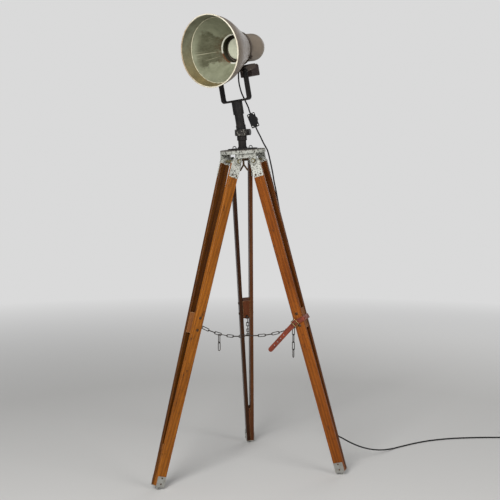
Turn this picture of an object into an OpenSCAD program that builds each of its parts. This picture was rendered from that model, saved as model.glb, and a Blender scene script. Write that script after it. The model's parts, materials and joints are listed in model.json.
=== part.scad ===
// Tripod spotlight floor lamp: a spun reflector lamp in a flat-bar yoke, on a post
// clamped into the cast head of a wooden tripod with twin-rail legs, a spreader
// chain, a leather strap and a mains lead with an in-line dimmer.
// Millimetres, +Z up. The origin is on the floor, midway between the outermost feet.

/* [Stance] */
// How much lower the head's top face stands than a leg is long
head_settle = 5; // [-10:1:55]
// Turn of the tripod head about its own axis, in degrees
head_yaw = 8.4; // [0:0.1:15]
// Tip of the tripod head towards the front, in degrees
head_tip = 2.1; // [-2:0.1:3]
// Lean of the tripod head, in degrees, negative to the left
head_lean = -3.6; // [-4.5:0.1:0]

/* [Tripod head] */
// Radius of the head's top plate
plate_r = 87; // [84:0.5:95]
// Thickness of the top plate
plate_t = 15; // [10:0.5:20]
// Depth of the skirt below the top plate
skirt_drop = 16; // [8:0.5:20]
// Outer radius of the skirt
skirt_r = 76; // [70:0.5:80]
// Wall of the skirt and of the centre boss
casting_wall = 7; // [4:0.5:9]
// Radius of the boss that the clamp screw runs in
boss_r = 21; // [16:0.5:24]
// Distance of a leg's hinge from the head's axis
hinge_r = 61; // [58:0.5:66]
// Depth of the hinge below the top face
hinge_drop = 42; // [38:0.5:48]
// Thickness of a hinge ear
ear_t = 8; // [5:0.5:10]
// Radius of the rounded end of an ear and of a leg bracket's eye
eye_r = 13; // [10:0.5:14]
// Diameter of a hinge bolt
hinge_bolt_d = 10; // [6:0.5:12]

/* [Legs] */
// Length of a leg from its hinge to the floor contact
leg_len = 1255; // [1250:5:1320]
// Thickness of a rail, across the leg
rail_t = 14; // [12:0.5:18]
// Depth of a rail, from its inner to its outer edge
rail_w = 40; // [34:0.5:46]
// Rounding of a rail's long edges
rail_edge = 2.5; // [1:0.25:4]
// Half the spacing of a leg's two rails at the hinge
rail_spread = 35; // [30:0.5:42]
// Half the spacing of a leg's two rails at the floor
foot_spread = 7.4; // [7.2:0.1:12]
// Distance from the hinge to the top of the wood
rail_top = 11; // [9:0.5:14]
// Distance from the end of the wood to the floor contact, along the leg
rail_stop = 15; // [12:0.5:20]
// Length of the cast bracket below the hinge
bracket_len = 63; // [50:1:80]
// Depth that the bracket's plate is let into the rail
bracket_let = 5; // [3:0.5:6]
// Distance from the hinge to the top of the spreader block
block_station = 590; // [500:5:700]
// Height of the spreader block
block_h = 77; // [70:1:110]
// Depth of the spreader block and of the foot wedge
block_w = 36; // [28:0.5:38]
// Distance from the hinge to the top of the wedge between the rails at the foot
wedge_station = 1088; // [1000:5:1150]
// Length of the shoe's side plates
shoe_h = 39; // [30:1:55]
// Width of the shoe's side plates
shoe_w = 37; // [28:0.5:38]
// Thickness of the shoe's steel
shoe_t = 2.5; // [1.5:0.25:3.5]
// Radius of the ball foot under the shoe
foot_r = 7; // [5:0.5:7]
// Radius of the collar above the ball foot
foot_collar_r = 10; // [8:0.5:12]

/* [Spreader chain] */
// Radius of the chain's wire
chain_wire_r = 1.5; // [1:0.1:2]
// Width of a link, outside
link_w = 12; // [10:0.5:14]
// Spacing of the links along the chain
link_pitch = 29; // [24:0.5:34]
// Drop of the chain from the legs to its middle
chain_drop = 44; // [30:1:60]
// Distance from the hinge to a leg's screw eye
eye_station = 658; // [655:1:661]
// How much higher the left leg's screw eye sits
left_eye_lift = 22; // [0:1:40]
// Radius of the screw eye's ring, to the middle of its wire
eye_ring_r = 8; // [6:0.5:9]
// Radius of the middle ring, to the middle of its wire
mid_ring_r = 9; // [7:0.5:12]

/* [Strap] */
// Width of the leather strap
strap_w = 19; // [15:0.5:24]
// Thickness of the leather strap
strap_t = 3; // [2:0.25:4]
// Distance from the hinge to the middle of the strap's loop
strap_station = 634; // [626:1:634]
// Slope of the strap's loop, in degrees
strap_slope = 15; // [0:1:20]
// Length of the strap's free end
strap_tail_len = 158; // [120:1:190]

/* [Post] */
// Radius of the flange on the top plate
flange_r = 57; // [50:0.5:66]
// Thickness of the flange
flange_t = 4; // [3:0.5:6]
// Outer radius of the column's lower tube
tube_r = 15.5; // [14.5:0.25:18]
// Outer radius of the column's upper socket
socket_r = 18.8; // [18:0.1:20]
// Height at which the column's tube widens into its socket
socket_z = 33; // [26:0.5:40]
// Height of the underside of the clamp collar
collar_z = 52; // [46:0.5:56]
// Height of the clamp collar
collar_h = 25; // [20:0.5:30]
// Outer radius of the clamp collar
collar_r = 26; // [24:0.5:30]
// Radius of the spigot that turns in the column
spigot_r = 12; // [9:0.25:13]
// Lean of the post from the column's axis, in degrees
post_lean = 5.7; // [0:0.1:6]
// Direction of that lean about the head's axis, in degrees
post_lean_way = 171.6; // [90:0.5:270]
// Length of the post from its knuckle to the yoke
post_len = 110; // [100:1:140]
// Radius of the post's upper socket
post_socket_r = 20.5; // [18:0.25:24]
// Length of the post's upper socket
post_socket_len = 48; // [36:1:60]
// Direction of the clamp knob about the head's axis, in degrees
knob_way = -28; // [-60:1:60]

/* [Yoke] */
// Heading of the lamp about the post, in degrees
lamp_heading = 224.7; // [180:0.1:270]
// Tilt of the lamp in the yoke, in degrees, positive nose down
lamp_tilt = 0; // [-30:1:30]
// Distance between the middles of the yoke's arms
yoke_span = 124; // [118:1:140]
// Width of the yoke's flat bar
yoke_w = 22; // [18:0.5:26]
// Thickness of the yoke's flat bar
yoke_t = 8; // [5:0.5:9]
// Height of the pivot above the yoke's bottom bar
pivot_rise = 101.5; // [98:0.5:120]
// Diameter of the pivot bolts
pivot_d = 8; // [6:0.5:10]

/* [Lamp] */
// Height of the pivot above the lowest edge of the reflector
pivot_lift = 44; // [34:0.5:46]
// Distance of the rim's plane in front of the pivot
rim_reach = 113; // [100:1:120]
// Radius of the reflector shell at its rim
rim_r = 134; // [125:0.5:136]
// Radius of the rolled bead round the rim
bead_r = 2.4; // [1.5:0.1:3]
// Thickness of the spun shells
shell_t = 1.6; // [1:0.1:2.5]
// Radius of curvature of the shell behind the rim
lip_curve_r = 180; // [160:5:220]
// Angle of the shell to the axis at the rim, in degrees
lip_angle = 5; // [0:0.5:8]
// Angle of the shell's rear cone, in degrees
cone_angle = 26.5; // [24:0.5:28]
// Radius of the shell's rear collar
collar_end_r = 63; // [60:0.5:66]
// Depth of the liner's front edge behind the rim
liner_front = 42; // [30:1:50]
// Length of the neck ring's sleeve, from the liner to the housing
neck_sleeve_len = 28.5; // [26:0.5:40]
// Radius of the liner's neck
neck_r = 57; // [52:0.5:58]
// Radius of the rear housing
housing_r = 53; // [50:0.5:54]
// Length of the rear housing's straight part
housing_len = 86; // [80:1:100]
// Width of the saddle's side arms and of its rear tail
saddle_tail_w = 48; // [40:1:56]
// Thickness of the saddle's sheet
saddle_t = 3; // [2:0.25:4]
// Radius of the bulb's face
bulb_r = 42; // [38:0.5:46]

/* [Terminal box] */
// Length of the box along the lamp
box_len = 50; // [40:1:56]
// Width of the box across the lamp
box_w = 56; // [46:1:60]
// Height of the box
box_h = 42; // [34:1:46]
// Distance of the box's front behind the pivot
box_front = 87; // [84:1:95]
// Thickness of the box's walls
box_wall = 2.5; // [2:0.25:4]

/* [Lead] */
// Diameter of the mains lead
cord_d = 5.6; // [5:0.1:6.5]
// Length of the dimmer's body
dimmer_len = 56; // [50:1:64]
// Width of the dimmer's body
dimmer_w = 31; // [28:0.5:36]
// Thickness of the dimmer's body
dimmer_t = 20; // [16:0.5:24]
// Mean radius of the stored coil
coil_r = 31; // [28:1:40]

/* [Hidden] */
$fn = 48;

// Clearances
run_gap = 0.05;      // round a bolt or spigot that turns
fit_gap = 0.3;       // between pieces that sit against each other
hinge_gap = 0.7;     // between a leg's brackets and the head's ears
chain_gap = 0.5;     // between the wires of neighbouring links
open_gap = 2;        // at the chain's middle, where its loop is opened

// Legs, in the order left, right, back, and their directions about the head
LEFT = 0;
RIGHT = 1;
BACK = 2;
LEGS = [LEFT, RIGHT, BACK];
SIDES = [-1, 1];
leg_way = [210, 330, 90];

// ---- vectors ----
function turn_x(v, a) = [v.x, v.y*cos(a) - v.z*sin(a), v.y*sin(a) + v.z*cos(a)];
function turn_y(v, a) = [v.x*cos(a) + v.z*sin(a), v.y, v.z*cos(a) - v.x*sin(a)];
function turn_z(v, a) = [v.x*cos(a) - v.y*sin(a), v.x*sin(a) + v.y*cos(a), v.z];
function unit(v) = v/norm(v);
function flat(v) = [v.x, v.y, 0];

// ---- stance: where the head puts each hinge, and the splay that brings a leg to the floor ----
function head_dir(v) = turn_x(turn_y(turn_z(v, head_yaw), head_lean), head_tip);
head_height = leg_len - head_settle;
function head_point(v) = [0, 0, head_height] + head_dir(v);
function hinge_point(i) = head_point(turn_z([hinge_r, 0, -hinge_drop], leg_way[i]));
function leg_splay(i) =
    let (up = head_dir([0, 0, 1]), out = head_dir(turn_z([1, 0, 0], leg_way[i])))
    acos(hinge_point(i).z/(leg_len*norm([up.z, out.z]))) - atan2(out.z, up.z);
// A place in a leg's own frame: X out of the leg's face, Y across it, Z up to the hinge
function leg_dir(i, v) = head_dir(turn_z(turn_y(v, -leg_splay(i)), leg_way[i]));
function leg_point(i, v) = hinge_point(i) + leg_dir(i, v);
foot_tips = [for (i = LEGS) leg_point(i, [0, 0, -leg_len])];
foot_xs = [for (p = foot_tips) p.x];
foot_ys = [for (p = foot_tips) p.y];
stance_mid = [(min(foot_xs) + max(foot_xs))/2, (min(foot_ys) + max(foot_ys))/2, 0];

module at_stance() translate(-stance_mid) children();
module at_head()
    at_stance() translate([0, 0, head_height])
        rotate([head_tip, 0, 0]) rotate([0, head_lean, 0]) rotate([0, 0, head_yaw]) children();
module at_leg(i)
    at_head() rotate([0, 0, leg_way[i]]) translate([hinge_r, 0, -hinge_drop])
        rotate([0, -leg_splay(i), 0]) children();

// ---- small shapes ----
// A rectangle with round corners, centred
module round_rect(w, h, r) {
    square([w - 2*r, h], center = true);
    square([w, h - 2*r], center = true);
    for (x = SIDES, y = SIDES) translate([x*(w/2 - r), y*(h/2 - r)]) circle(r);
}
// A flat piece drawn in X and Z, from y0 to y1
module slab(y0, y1) rotate([90, 0, 0]) translate([0, 0, -y1]) linear_extrude(y1 - y0) children();
// A rod along Y, from y0 to y1
module rod_y(r, y0, y1) translate([0, y1, 0]) rotate([90, 0, 0]) cylinder(r = r, h = y1 - y0);
// A domed screw head that stands on z = 0
module dome_head(r, h) {
    cylinder(r = r, h = h/2);
    translate([0, 0, h/2]) cylinder(r1 = r, r2 = r*0.6, h = h/2);
}

// ---- tripod head ----
skirt_z = -plate_t - skirt_drop;
ear_in = rail_spread + rail_t/2 + hinge_gap;
ear_out = ear_in + ear_t;
bolt_hole_r = hinge_bolt_d/2 + run_gap;
clamp_rod_r = 4;
clamp_washer_r = boss_r;
clamp_washer_t = 7;
plate_round = 3;

module head_casting() color("darkgrey") at_head() difference() {
    union() {
        top_plate();
        skirt();
        translate([0, 0, skirt_z]) cylinder(r = boss_r, h = skirt_drop + 1);
        for (i = LEGS, side = SIDES) rotate([0, 0, leg_way[i]]) hinge_ear(side);
    }
    for (i = LEGS) rotate([0, 0, leg_way[i]]) translate([hinge_r, 0, -hinge_drop])
        rod_y(bolt_hole_r, -ear_out - 1, ear_out + 1);
    translate([0, 0, skirt_z - 1]) cylinder(r = clamp_rod_r + run_gap, h = skirt_drop + plate_t + 2);
}
module top_plate() rotate_extrude($fn = 96) {
    translate([0, -plate_t]) square([plate_r - plate_round, plate_t]);
    translate([0, plate_round - plate_t]) square([plate_r, plate_t - 2*plate_round]);
    for (z = [plate_round - plate_t, -plate_round]) translate([plate_r - plate_round, z]) circle(plate_round);
}
// The skirt stands between the legs and leaves each pair of rails its slot
module skirt() difference() {
    translate([0, 0, skirt_z]) cylinder(r = skirt_r, h = skirt_drop + 1, $fn = 96);
    translate([0, 0, skirt_z - 1]) cylinder(r = skirt_r - casting_wall, h = skirt_drop + 3, $fn = 96);
    for (i = LEGS) rotate([0, 0, leg_way[i]])
        translate([0, -ear_in, skirt_z - 1]) cube([2*skirt_r, 2*ear_in, skirt_drop + 0.99]);
}
module hinge_ear(side) {
    y0 = side > 0 ? ear_in : -ear_out;
    slab(y0, y0 + ear_t) translate([hinge_r, -hinge_drop]) {
        circle(eye_r);
        polygon([[-eye_r, 0], [eye_r, 0], [eye_r*0.7, hinge_drop - plate_t + 1],
            [-eye_r*1.8, hinge_drop - plate_t + 1]]);
    }
}
module hinge_bolts() color("dimgrey") at_head() for (i = LEGS)
    rotate([0, 0, leg_way[i]]) translate([hinge_r, 0, -hinge_drop]) {
        rod_y(hinge_bolt_d/2, -ear_out - 5, ear_out + 5);
        for (side = SIDES) translate([0, side*(ear_out + fit_gap), 0]) rotate([-side*90, 0, 0])
            dome_head(hinge_bolt_d*0.85, 5);
    }
// The screw that pulls the flange down: washer, rod and two drooping wings
wing_apex_z = -58;
wing_len = 29;
wing_droop = 147;
wing_rod_r = 3.4;
module wing_screw() color("saddlebrown") at_head() {
    translate([0, 0, wing_apex_z]) cylinder(r = clamp_rod_r, h = -wing_apex_z + flange_t/2);
    translate([0, 0, skirt_z - fit_gap - clamp_washer_t])
        cylinder(r = clamp_washer_r, h = clamp_washer_t);
    translate([0, 0, wing_apex_z]) for (side = SIDES) rotate([0, side*wing_droop, 0]) {
        cylinder(r = wing_rod_r, h = wing_len - wing_rod_r);
        translate([0, 0, wing_len - wing_rod_r])
            cylinder(r1 = wing_rod_r, r2 = wing_rod_r/2, h = wing_rod_r);
    }
}

// ---- column, collar and post ----
knuckle_z = collar_z + collar_h - 5;
spigot_hole_r = spigot_r + run_gap;
spigot_foot_z = socket_z + 4;
collar_round = 3;
column_top_z = knuckle_z - 4;
collar_mouth = 1.7;
flange_loop_r = 31;
flange_loop_w = 6;
flange_wire_r = 1.6;
module top_flange() color("dimgrey") at_head() {
    difference() {
        cylinder(r = flange_r, h = flange_t, $fn = 96);
        translate([0, 0, -1]) cylinder(r = clamp_rod_r + run_gap, h = flange_t/2 + 1 + fit_gap);
    }
    for (side = SIDES) rotate([0, 0, -head_yaw]) translate([side*flange_loop_r, 0, flange_t])
        flange_loop();
}
// A wire staple that holds the flange down
module flange_loop() {
    translate([0, 0, 3]) rotate([90, 0, 0]) rotate_extrude(angle = 180)
        translate([flange_loop_w, 0]) circle(flange_wire_r, $fn = 24);
    for (side = SIDES) translate([side*flange_loop_w, 0, -flange_t/2])
        cylinder(r = flange_wire_r, h = 3 + flange_t/2, $fn = 24);
}
module column() color("dimgrey") at_head() difference() {
    union() {
        translate([0, 0, flange_t]) cylinder(r1 = tube_r + 5, r2 = tube_r, h = 8);
        translate([0, 0, flange_t]) cylinder(r = tube_r, h = socket_z - flange_t);
        translate([0, 0, socket_z]) cylinder(r1 = tube_r, r2 = socket_r, h = 2);
        translate([0, 0, socket_z + 2]) cylinder(r = socket_r, h = column_top_z - socket_z - 2);
    }
    translate([0, 0, spigot_foot_z]) cylinder(r = spigot_hole_r, h = collar_h + collar_z);
    knob_axis() cylinder(r = knob_screw_r + run_gap, h = collar_r + 5);
}
// The collar grips the column's slit end and carries the knob's thread
module clamp_collar() color("dimgrey") at_head() difference() {
    translate([0, 0, collar_z]) rotate_extrude() difference() {
        union() {
            translate([socket_r + fit_gap, 0])
                square([collar_r - socket_r - fit_gap - collar_round, collar_h]);
            translate([socket_r + fit_gap, collar_round])
                square([collar_r - socket_r - fit_gap, collar_h - 2*collar_round]);
            for (z = [collar_round, collar_h - collar_round])
                translate([collar_r - collar_round, z]) circle(collar_round);
        }
        translate([0, column_top_z - collar_z]) square([socket_r + collar_mouth, collar_h]);
    }
    knob_axis() cylinder(r = knob_screw_r + run_gap, h = collar_r + 5);
}
knob_screw_r = 4;
knob_r = 12;
knob_t = 9;
knob_ribs = 14;
module knob_axis()
    rotate([0, 0, knob_way]) translate([0, 0, collar_z + collar_h/2]) rotate([0, 90, 0]) children();
module clamp_knob() color("dimgrey") at_head() knob_axis() {
    translate([0, 0, spigot_r + fit_gap]) cylinder(r = knob_screw_r, h = collar_r - spigot_r);
    translate([0, 0, collar_r + fit_gap]) difference() {
        cylinder(r = knob_r, h = knob_t);
        for (k = [0:knob_ribs - 1]) rotate([0, 0, k*360/knob_ribs])
            translate([knob_r + 0.8, 0, -1]) cylinder(r = 2, h = knob_t + 2, $fn = 16);
    }
}

module at_post()
    at_head() translate([0, 0, knuckle_z]) rotate([0, 0, post_lean_way])
        rotate([0, post_lean, 0]) rotate([0, 0, -post_lean_way]) children();
post_ring_len = 20;
post_mid_r = 17;
module post() color("dimgrey") {
    at_head() translate([0, 0, spigot_foot_z + 1])
        cylinder(r = spigot_r, h = knuckle_z - spigot_foot_z + 2);
    at_post() difference() {
        union() {
            cylinder(r = socket_r, h = post_ring_len);
            translate([0, 0, post_ring_len]) cylinder(r1 = socket_r, r2 = post_mid_r, h = 1.5);
            translate([0, 0, post_ring_len])
                cylinder(r = post_mid_r, h = post_len - post_socket_len - post_ring_len);
            translate([0, 0, post_len - post_socket_len])
                cylinder(r = post_socket_r, h = post_socket_len);
        }
        translate([0, 0, post_len - 20]) cylinder(r = pivot_d/2 + run_gap, h = 21);
    }
}

// ---- yoke ----
module at_yoke()
    at_post() translate([0, 0, post_len + yoke_t + pivot_rise]) rotate([0, 0, lamp_heading]) children();
yoke_corner_r = 14;
yoke_foot_z = -pivot_rise - yoke_t;
arm_in = yoke_span/2 - yoke_t/2;
arm_out = yoke_span/2 + yoke_t/2;
module yoke() color("dimgrey") at_yoke() difference() {
    intersection() {
        rotate([90, 0, 90]) translate([0, 0, -yoke_w/2]) linear_extrude(yoke_w) difference() {
            round_rect_at(arm_out, yoke_foot_z, yoke_corner_r);
            round_rect_at(arm_in, -pivot_rise, yoke_corner_r - yoke_t);
            translate([-arm_out - 1, yoke_w]) square([2*arm_out + 2, 2*pivot_rise]);
        }
        slab(-arm_out - 1, arm_out + 1) {
            circle(yoke_w/2);
            translate([-yoke_w, 2*yoke_foot_z]) square([2*yoke_w, -2*yoke_foot_z]);
        }
    }
    rod_y(pivot_d/2 + run_gap, -arm_out - 1, arm_out + 1);
    translate([0, 0, yoke_foot_z - 1]) cylinder(r = pivot_d/2 + run_gap, h = yoke_t + 2);
    yoke_screw_head(run_gap);
}
// The countersunk head that is flush with the bar's upper face
module yoke_screw_head(gap) translate([0, 0, -pivot_rise - 4])
    cylinder(r1 = pivot_d/2 + gap, r2 = pivot_d + gap, h = 4 + gap);
// A rounded rectangle of half width w that starts at height z0 and is open far above
module round_rect_at(w, z0, r)
    translate([0, z0 + 2*pivot_rise]) round_rect(2*w, 4*pivot_rise, r);
pivot_head_r = 8.5;
pivot_head_t = 5;
saddle_ear_y = arm_in - 1 - saddle_t;
module pivot_bolts() color("dimgrey") at_yoke() {
    for (side = SIDES) mirror([0, side < 0 ? 1 : 0, 0]) {
        rod_y(pivot_d/2, saddle_ear_y, arm_out + pivot_head_t/2);
        translate([0, arm_out + fit_gap, 0]) rotate([-90, 0, 0]) dome_head(pivot_head_r, pivot_head_t);
    }
    translate([0, 0, yoke_foot_z - 16]) cylinder(r = pivot_d/2, h = 16 + yoke_t - 2);
    yoke_screw_head(0);
}

// ---- lamp: depths are measured back from the rim's plane ----
module at_lamp() at_yoke() rotate([0, lamp_tilt, 0]) children();
module at_reflector() at_lamp() translate([rim_reach, 0, lamp_rise]) rotate([0, -90, 0]) children();
lamp_rise = rim_r - pivot_lift;
arc_steps = 8;
// Points [radius, depth] along an arc whose slope to the axis goes from a0 to a1
function arc_points(r0, d0, curve_r, a0, a1) = [for (k = [0:arc_steps])
    let (a = a0 + (a1 - a0)*k/arc_steps)
    [r0 + curve_r*(cos(a) - cos(a0)), d0 + curve_r*(sin(a) - sin(a0))]];
function backwards(list) = [for (k = [len(list) - 1:-1:0]) list[k]];
// The same arc moved inwards, square to itself, by a wall
function inner_arc_points(r0, d0, curve_r, a0, a1, wall) =
    arc_points(r0 - wall*cos(a0), d0 - wall*sin(a0), curve_r - wall, a0, a1);

lip_end = arc_points(rim_r, 0, lip_curve_r, lip_angle, cone_angle)[arc_steps];
cone_end = lip_end.y + (lip_end.x - collar_end_r)/tan(cone_angle);
collar_len = 6;
shell_wall_r = shell_t/cos(cone_angle);
module reflector_shell() color("rosybrown") at_reflector() rotate_extrude($fn = 96) polygon(concat(
    arc_points(rim_r, 0, lip_curve_r, lip_angle, cone_angle),
    [[collar_end_r, cone_end], [collar_end_r, cone_end + collar_len],
        [collar_end_r - shell_t, cone_end + collar_len], [collar_end_r - shell_t, cone_end]],
    backwards(inner_arc_points(rim_r, 0, lip_curve_r, lip_angle, cone_angle, shell_t))));
module rim_bead() color("cornsilk") at_reflector() translate([0, 0, -bead_r - fit_gap])
    rotate_extrude($fn = 96) translate([rim_r - shell_t/2, 0]) circle(bead_r, $fn = 24);

// The liner springs from the shell's wall, as steep as the cone at least, and narrows to the neck
liner_t = 1.2;
liner_angle = cone_angle;
liner_front_r = shell_inner_r(liner_front) - fit_gap - 0.4;
function shell_inner_r(depth) =
    let (a = asin(sin(lip_angle) + depth/lip_curve_r))
    rim_r + lip_curve_r*(cos(a) - cos(lip_angle)) - shell_t/cos(a);
flange_depth = cone_end + 2;
neck_depth = flange_depth - neck_sleeve_len;
liner_chord = [liner_front_r - neck_r, neck_depth - liner_front];
liner_chord_angle = atan(liner_chord.x/liner_chord.y);
liner_end_angle = 2*liner_chord_angle - liner_angle;
liner_curve_r = norm(liner_chord)/(2*sin((liner_end_angle - liner_angle)/2));
liner_bead_r = 1.5;
module reflector_liner() color("darkseagreen") at_reflector() rotate_extrude($fn = 96) {
    polygon(concat(
        arc_points(liner_front_r, liner_front, liner_curve_r, liner_angle, liner_end_angle),
        backwards(inner_arc_points(liner_front_r, liner_front, liner_curve_r, liner_angle,
            liner_end_angle, liner_t))));
    translate([liner_front_r - liner_bead_r, liner_front]) circle(liner_bead_r, $fn = 24);
}
neck_ring_w = 6;
sleeve_t = 2;
module neck_ring() color("whitesmoke") at_reflector() rotate_extrude($fn = 96) polygon([
    [neck_r - neck_ring_w, neck_depth - 1], [neck_r - liner_t, neck_depth - 1],
    [neck_r, neck_depth + fit_gap], [neck_r - 1, neck_depth + 2],
    [neck_r - neck_ring_w + sleeve_t, neck_depth + 4],
    [neck_r - neck_ring_w + sleeve_t, flange_depth - fit_gap],
    [neck_r - neck_ring_w, flange_depth - fit_gap]]);

band_r = collar_end_r + fit_gap + 2.5;
band_lug_way = 127;
module collar_band() color("rosybrown") at_reflector() {
    translate([0, 0, cone_end]) rotate_extrude($fn = 96) polygon([
        [collar_end_r + fit_gap, 0.8], [band_r - 0.8, 0.8], [band_r, 1.6], [band_r, collar_len + 1.5],
        [band_r - 1, collar_len + 2.3], [housing_r + 2, collar_len + 2.3],
        [housing_r + 2, collar_len + fit_gap], [collar_end_r + fit_gap, collar_len + fit_gap]]);
    // The clamp's two lugs and their screw
    rotate([0, 0, band_lug_way]) translate([band_r - 0.5, 0, cone_end + 1]) {
        for (side = SIDES) translate([0, side*4 - 1.5, 0]) cube([9, 3, collar_len]);
        translate([5.5, -9, collar_len/2]) rotate([-90, 0, 0]) cylinder(r = 1.8, h = 18, $fn = 24);
    }
}
housing_flange_t = 2;
housing_end = flange_depth + housing_len;
module rear_housing() color("rosybrown") at_reflector() rotate_extrude($fn = 96) {
    translate([0, housing_end]) difference() {
        intersection() {
            circle(housing_r);
            square(housing_r);
        }
        circle(housing_r - shell_t);
    }
    translate([housing_r - shell_t, flange_depth]) square([shell_t, housing_len]);
    translate([housing_r - shell_t, flange_depth])
        square([collar_end_r - shell_t - fit_gap - housing_r + shell_t, housing_flange_t]);
}
bulb_face = neck_depth + 15;
holder_front = bulb_face + 48;
holder_r = 20;
stem_r = 6;
stem_end = housing_end + sqrt(pow(housing_r - shell_t, 2) - pow(stem_r, 2)) - fit_gap;
bulb_cap_r = 13;
module lampholder() color("ivory") at_reflector() difference() {
    union() {
        translate([0, 0, holder_front]) cylinder(r = holder_r, h = 48);
        translate([0, 0, holder_front]) cylinder(r = holder_r + 2, h = 5);
        translate([0, 0, holder_front + 48]) cylinder(r1 = holder_r, r2 = 7, h = 12);
        translate([0, 0, holder_front + 50]) cylinder(r = stem_r, h = stem_end - holder_front - 50);
    }
    translate([0, 0, holder_front - 1]) cylinder(r = bulb_cap_r + fit_gap, h = 32);
}
// A reflector bulb: shallow face, swelling cone and screw cap
module bulb() color("honeydew") at_reflector() rotate_extrude($fn = 64) polygon(concat(
    [[0, bulb_face]],
    [for (a = [10:20:90]) [(bulb_r - 8) + 8*sin(a), bulb_face + 12 - 10*cos(a)]],
    [[bulb_r*0.86, bulb_face + 24], [bulb_r*0.5, bulb_face + 40], [bulb_cap_r + 1, holder_front - 1],
        [bulb_cap_r, holder_front + 1], [bulb_cap_r, holder_front + 26], [0, holder_front + 29]]));

// ---- saddle and terminal box, in the lamp's frame at the pivot ----
saddle_top = lamp_rise - band_r - fit_gap;
saddle_front = rim_reach - cone_end + 4;
saddle_back = saddle_front - 24;
saddle_ear_out = saddle_ear_y + saddle_t;
saddle_ear_r = 10;
saddle_rib = 16;
box_back = box_front + box_len;
module saddle() color("rosybrown") at_lamp() {
    translate([saddle_back, -saddle_ear_out, saddle_top - saddle_t])
        cube([saddle_front - saddle_back, 2*saddle_ear_out, saddle_t]);
    translate([-box_back, -saddle_tail_w/2, saddle_top - saddle_t])
        cube([box_back + saddle_front, saddle_tail_w, saddle_t]);
    for (side = SIDES) mirror([0, side < 0 ? 1 : 0, 0]) difference() {
        slab(saddle_ear_y, saddle_ear_out) {
            circle(saddle_ear_r);
            polygon([[-1, saddle_ear_r], [saddle_front, saddle_top], [saddle_back, saddle_top],
                [saddle_back, saddle_top - saddle_rib], [2, -saddle_ear_r]]);
        }
        rod_y(pivot_d/2 + run_gap, saddle_ear_y - 1, saddle_ear_out + 1);
    }
}
box_top = saddle_top - saddle_t;
box_mid = [-box_front - box_len/2, box_top - box_h/2];
box_round = 5;
cover_t = 3;
gland_hole_r = 7;
gland_z = box_top - 12;
module terminal_box() color("saddlebrown") at_lamp() difference() {
    slab(-box_w/2, box_w/2 - cover_t) translate(box_mid) round_rect(box_len, box_h, box_round);
    slab(-box_w/2 + box_wall, box_w/2) translate(box_mid)
        round_rect(box_len - 2*box_wall, box_h - 2*box_wall, box_round - box_wall);
    translate([-box_front - 2*box_wall, 0, gland_z]) rotate([0, 90, 0])
        cylinder(r = gland_hole_r + run_gap, h = 3*box_wall);
}
cover_screw_r = 2.6;
module box_cover() color("saddlebrown") at_lamp() {
    slab(box_w/2 - cover_t, box_w/2) translate(box_mid) round_rect(box_len, box_h, box_round);
    for (x = SIDES) translate([box_mid.x + x*(box_len/2 - 8), box_w/2, box_mid.y])
        rotate([-90, 0, 0]) dome_head(cover_screw_r, 1.6);
}
relief_len = 23;
cord_r = cord_d/2;
gland_x = -box_front - box_wall;
module strain_relief() color("black") at_lamp()
    translate([gland_x, 0, gland_z]) rotate([0, 90, 0]) rotate_extrude() polygon(
        [[cord_r + run_gap, -3], [gland_hole_r + 2, -3], [gland_hole_r + 2, -fit_gap],
            [gland_hole_r, -fit_gap], [gland_hole_r, box_wall + 1], [gland_hole_r + 1.5, box_wall + 1],
            [gland_hole_r + 1.5, box_wall + 4], [gland_hole_r - 1, box_wall + 5],
            [cord_r + 1, relief_len], [cord_r + run_gap, relief_len]]);

// ---- legs ----
rail_slant = atan((rail_spread - foot_spread)/leg_len);
function rail_mid(station) = rail_spread - (rail_spread - foot_spread)*station/leg_len;
// A rail's own frame: Y runs outwards across the leg, Z up along the rail
module at_rail(side)
    mirror([0, side < 0 ? 1 : 0, 0]) translate([0, rail_spread, 0]) rotate([-rail_slant, 0, 0]) children();
rail_face = rail_t/2;
bracket_proud = 0.5;

module rails(i) color("sienna") at_leg(i) for (side = SIDES) at_rail(side) difference() {
    translate([0, 0, rail_stop - leg_len]) linear_extrude(leg_len - rail_stop - rail_top)
        round_rect(rail_w, rail_t, rail_edge);
    translate([-rail_w, rail_face - bracket_let, -bracket_len - fit_gap/2])
        cube([2*rail_w, rail_t, bracket_len]);
    rod_y(eye_r + fit_gap, -rail_t, rail_t);
}
// A cast bracket: the hinge eye, its shoulders, and the plate let into the rail's outer face
module brackets(i) color("silver") at_leg(i) for (side = SIDES) difference() {
    at_rail(side) {
        slab(-rail_face, rail_face) {
            circle(eye_r);
            polygon([[-eye_r, 0], [eye_r, 0], [rail_w/2, fit_gap - rail_top + 2.4],
                [rail_w/2, fit_gap - rail_top], [-rail_w/2, fit_gap - rail_top],
                [-rail_w/2, fit_gap - rail_top + 2.4]]);
        }
        slab(rail_face - bracket_let + fit_gap/2, rail_face + bracket_proud) difference() {
            translate([0, -bracket_len/2 - rail_top/2 + 4]) round_rect(rail_w, bracket_len - rail_top + 8, 4);
            translate([-rail_w, -3]) square([2*rail_w, rail_top + 20]);
        }
    }
    rod_y(bolt_hole_r, -ear_out, ear_out);
}
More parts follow.
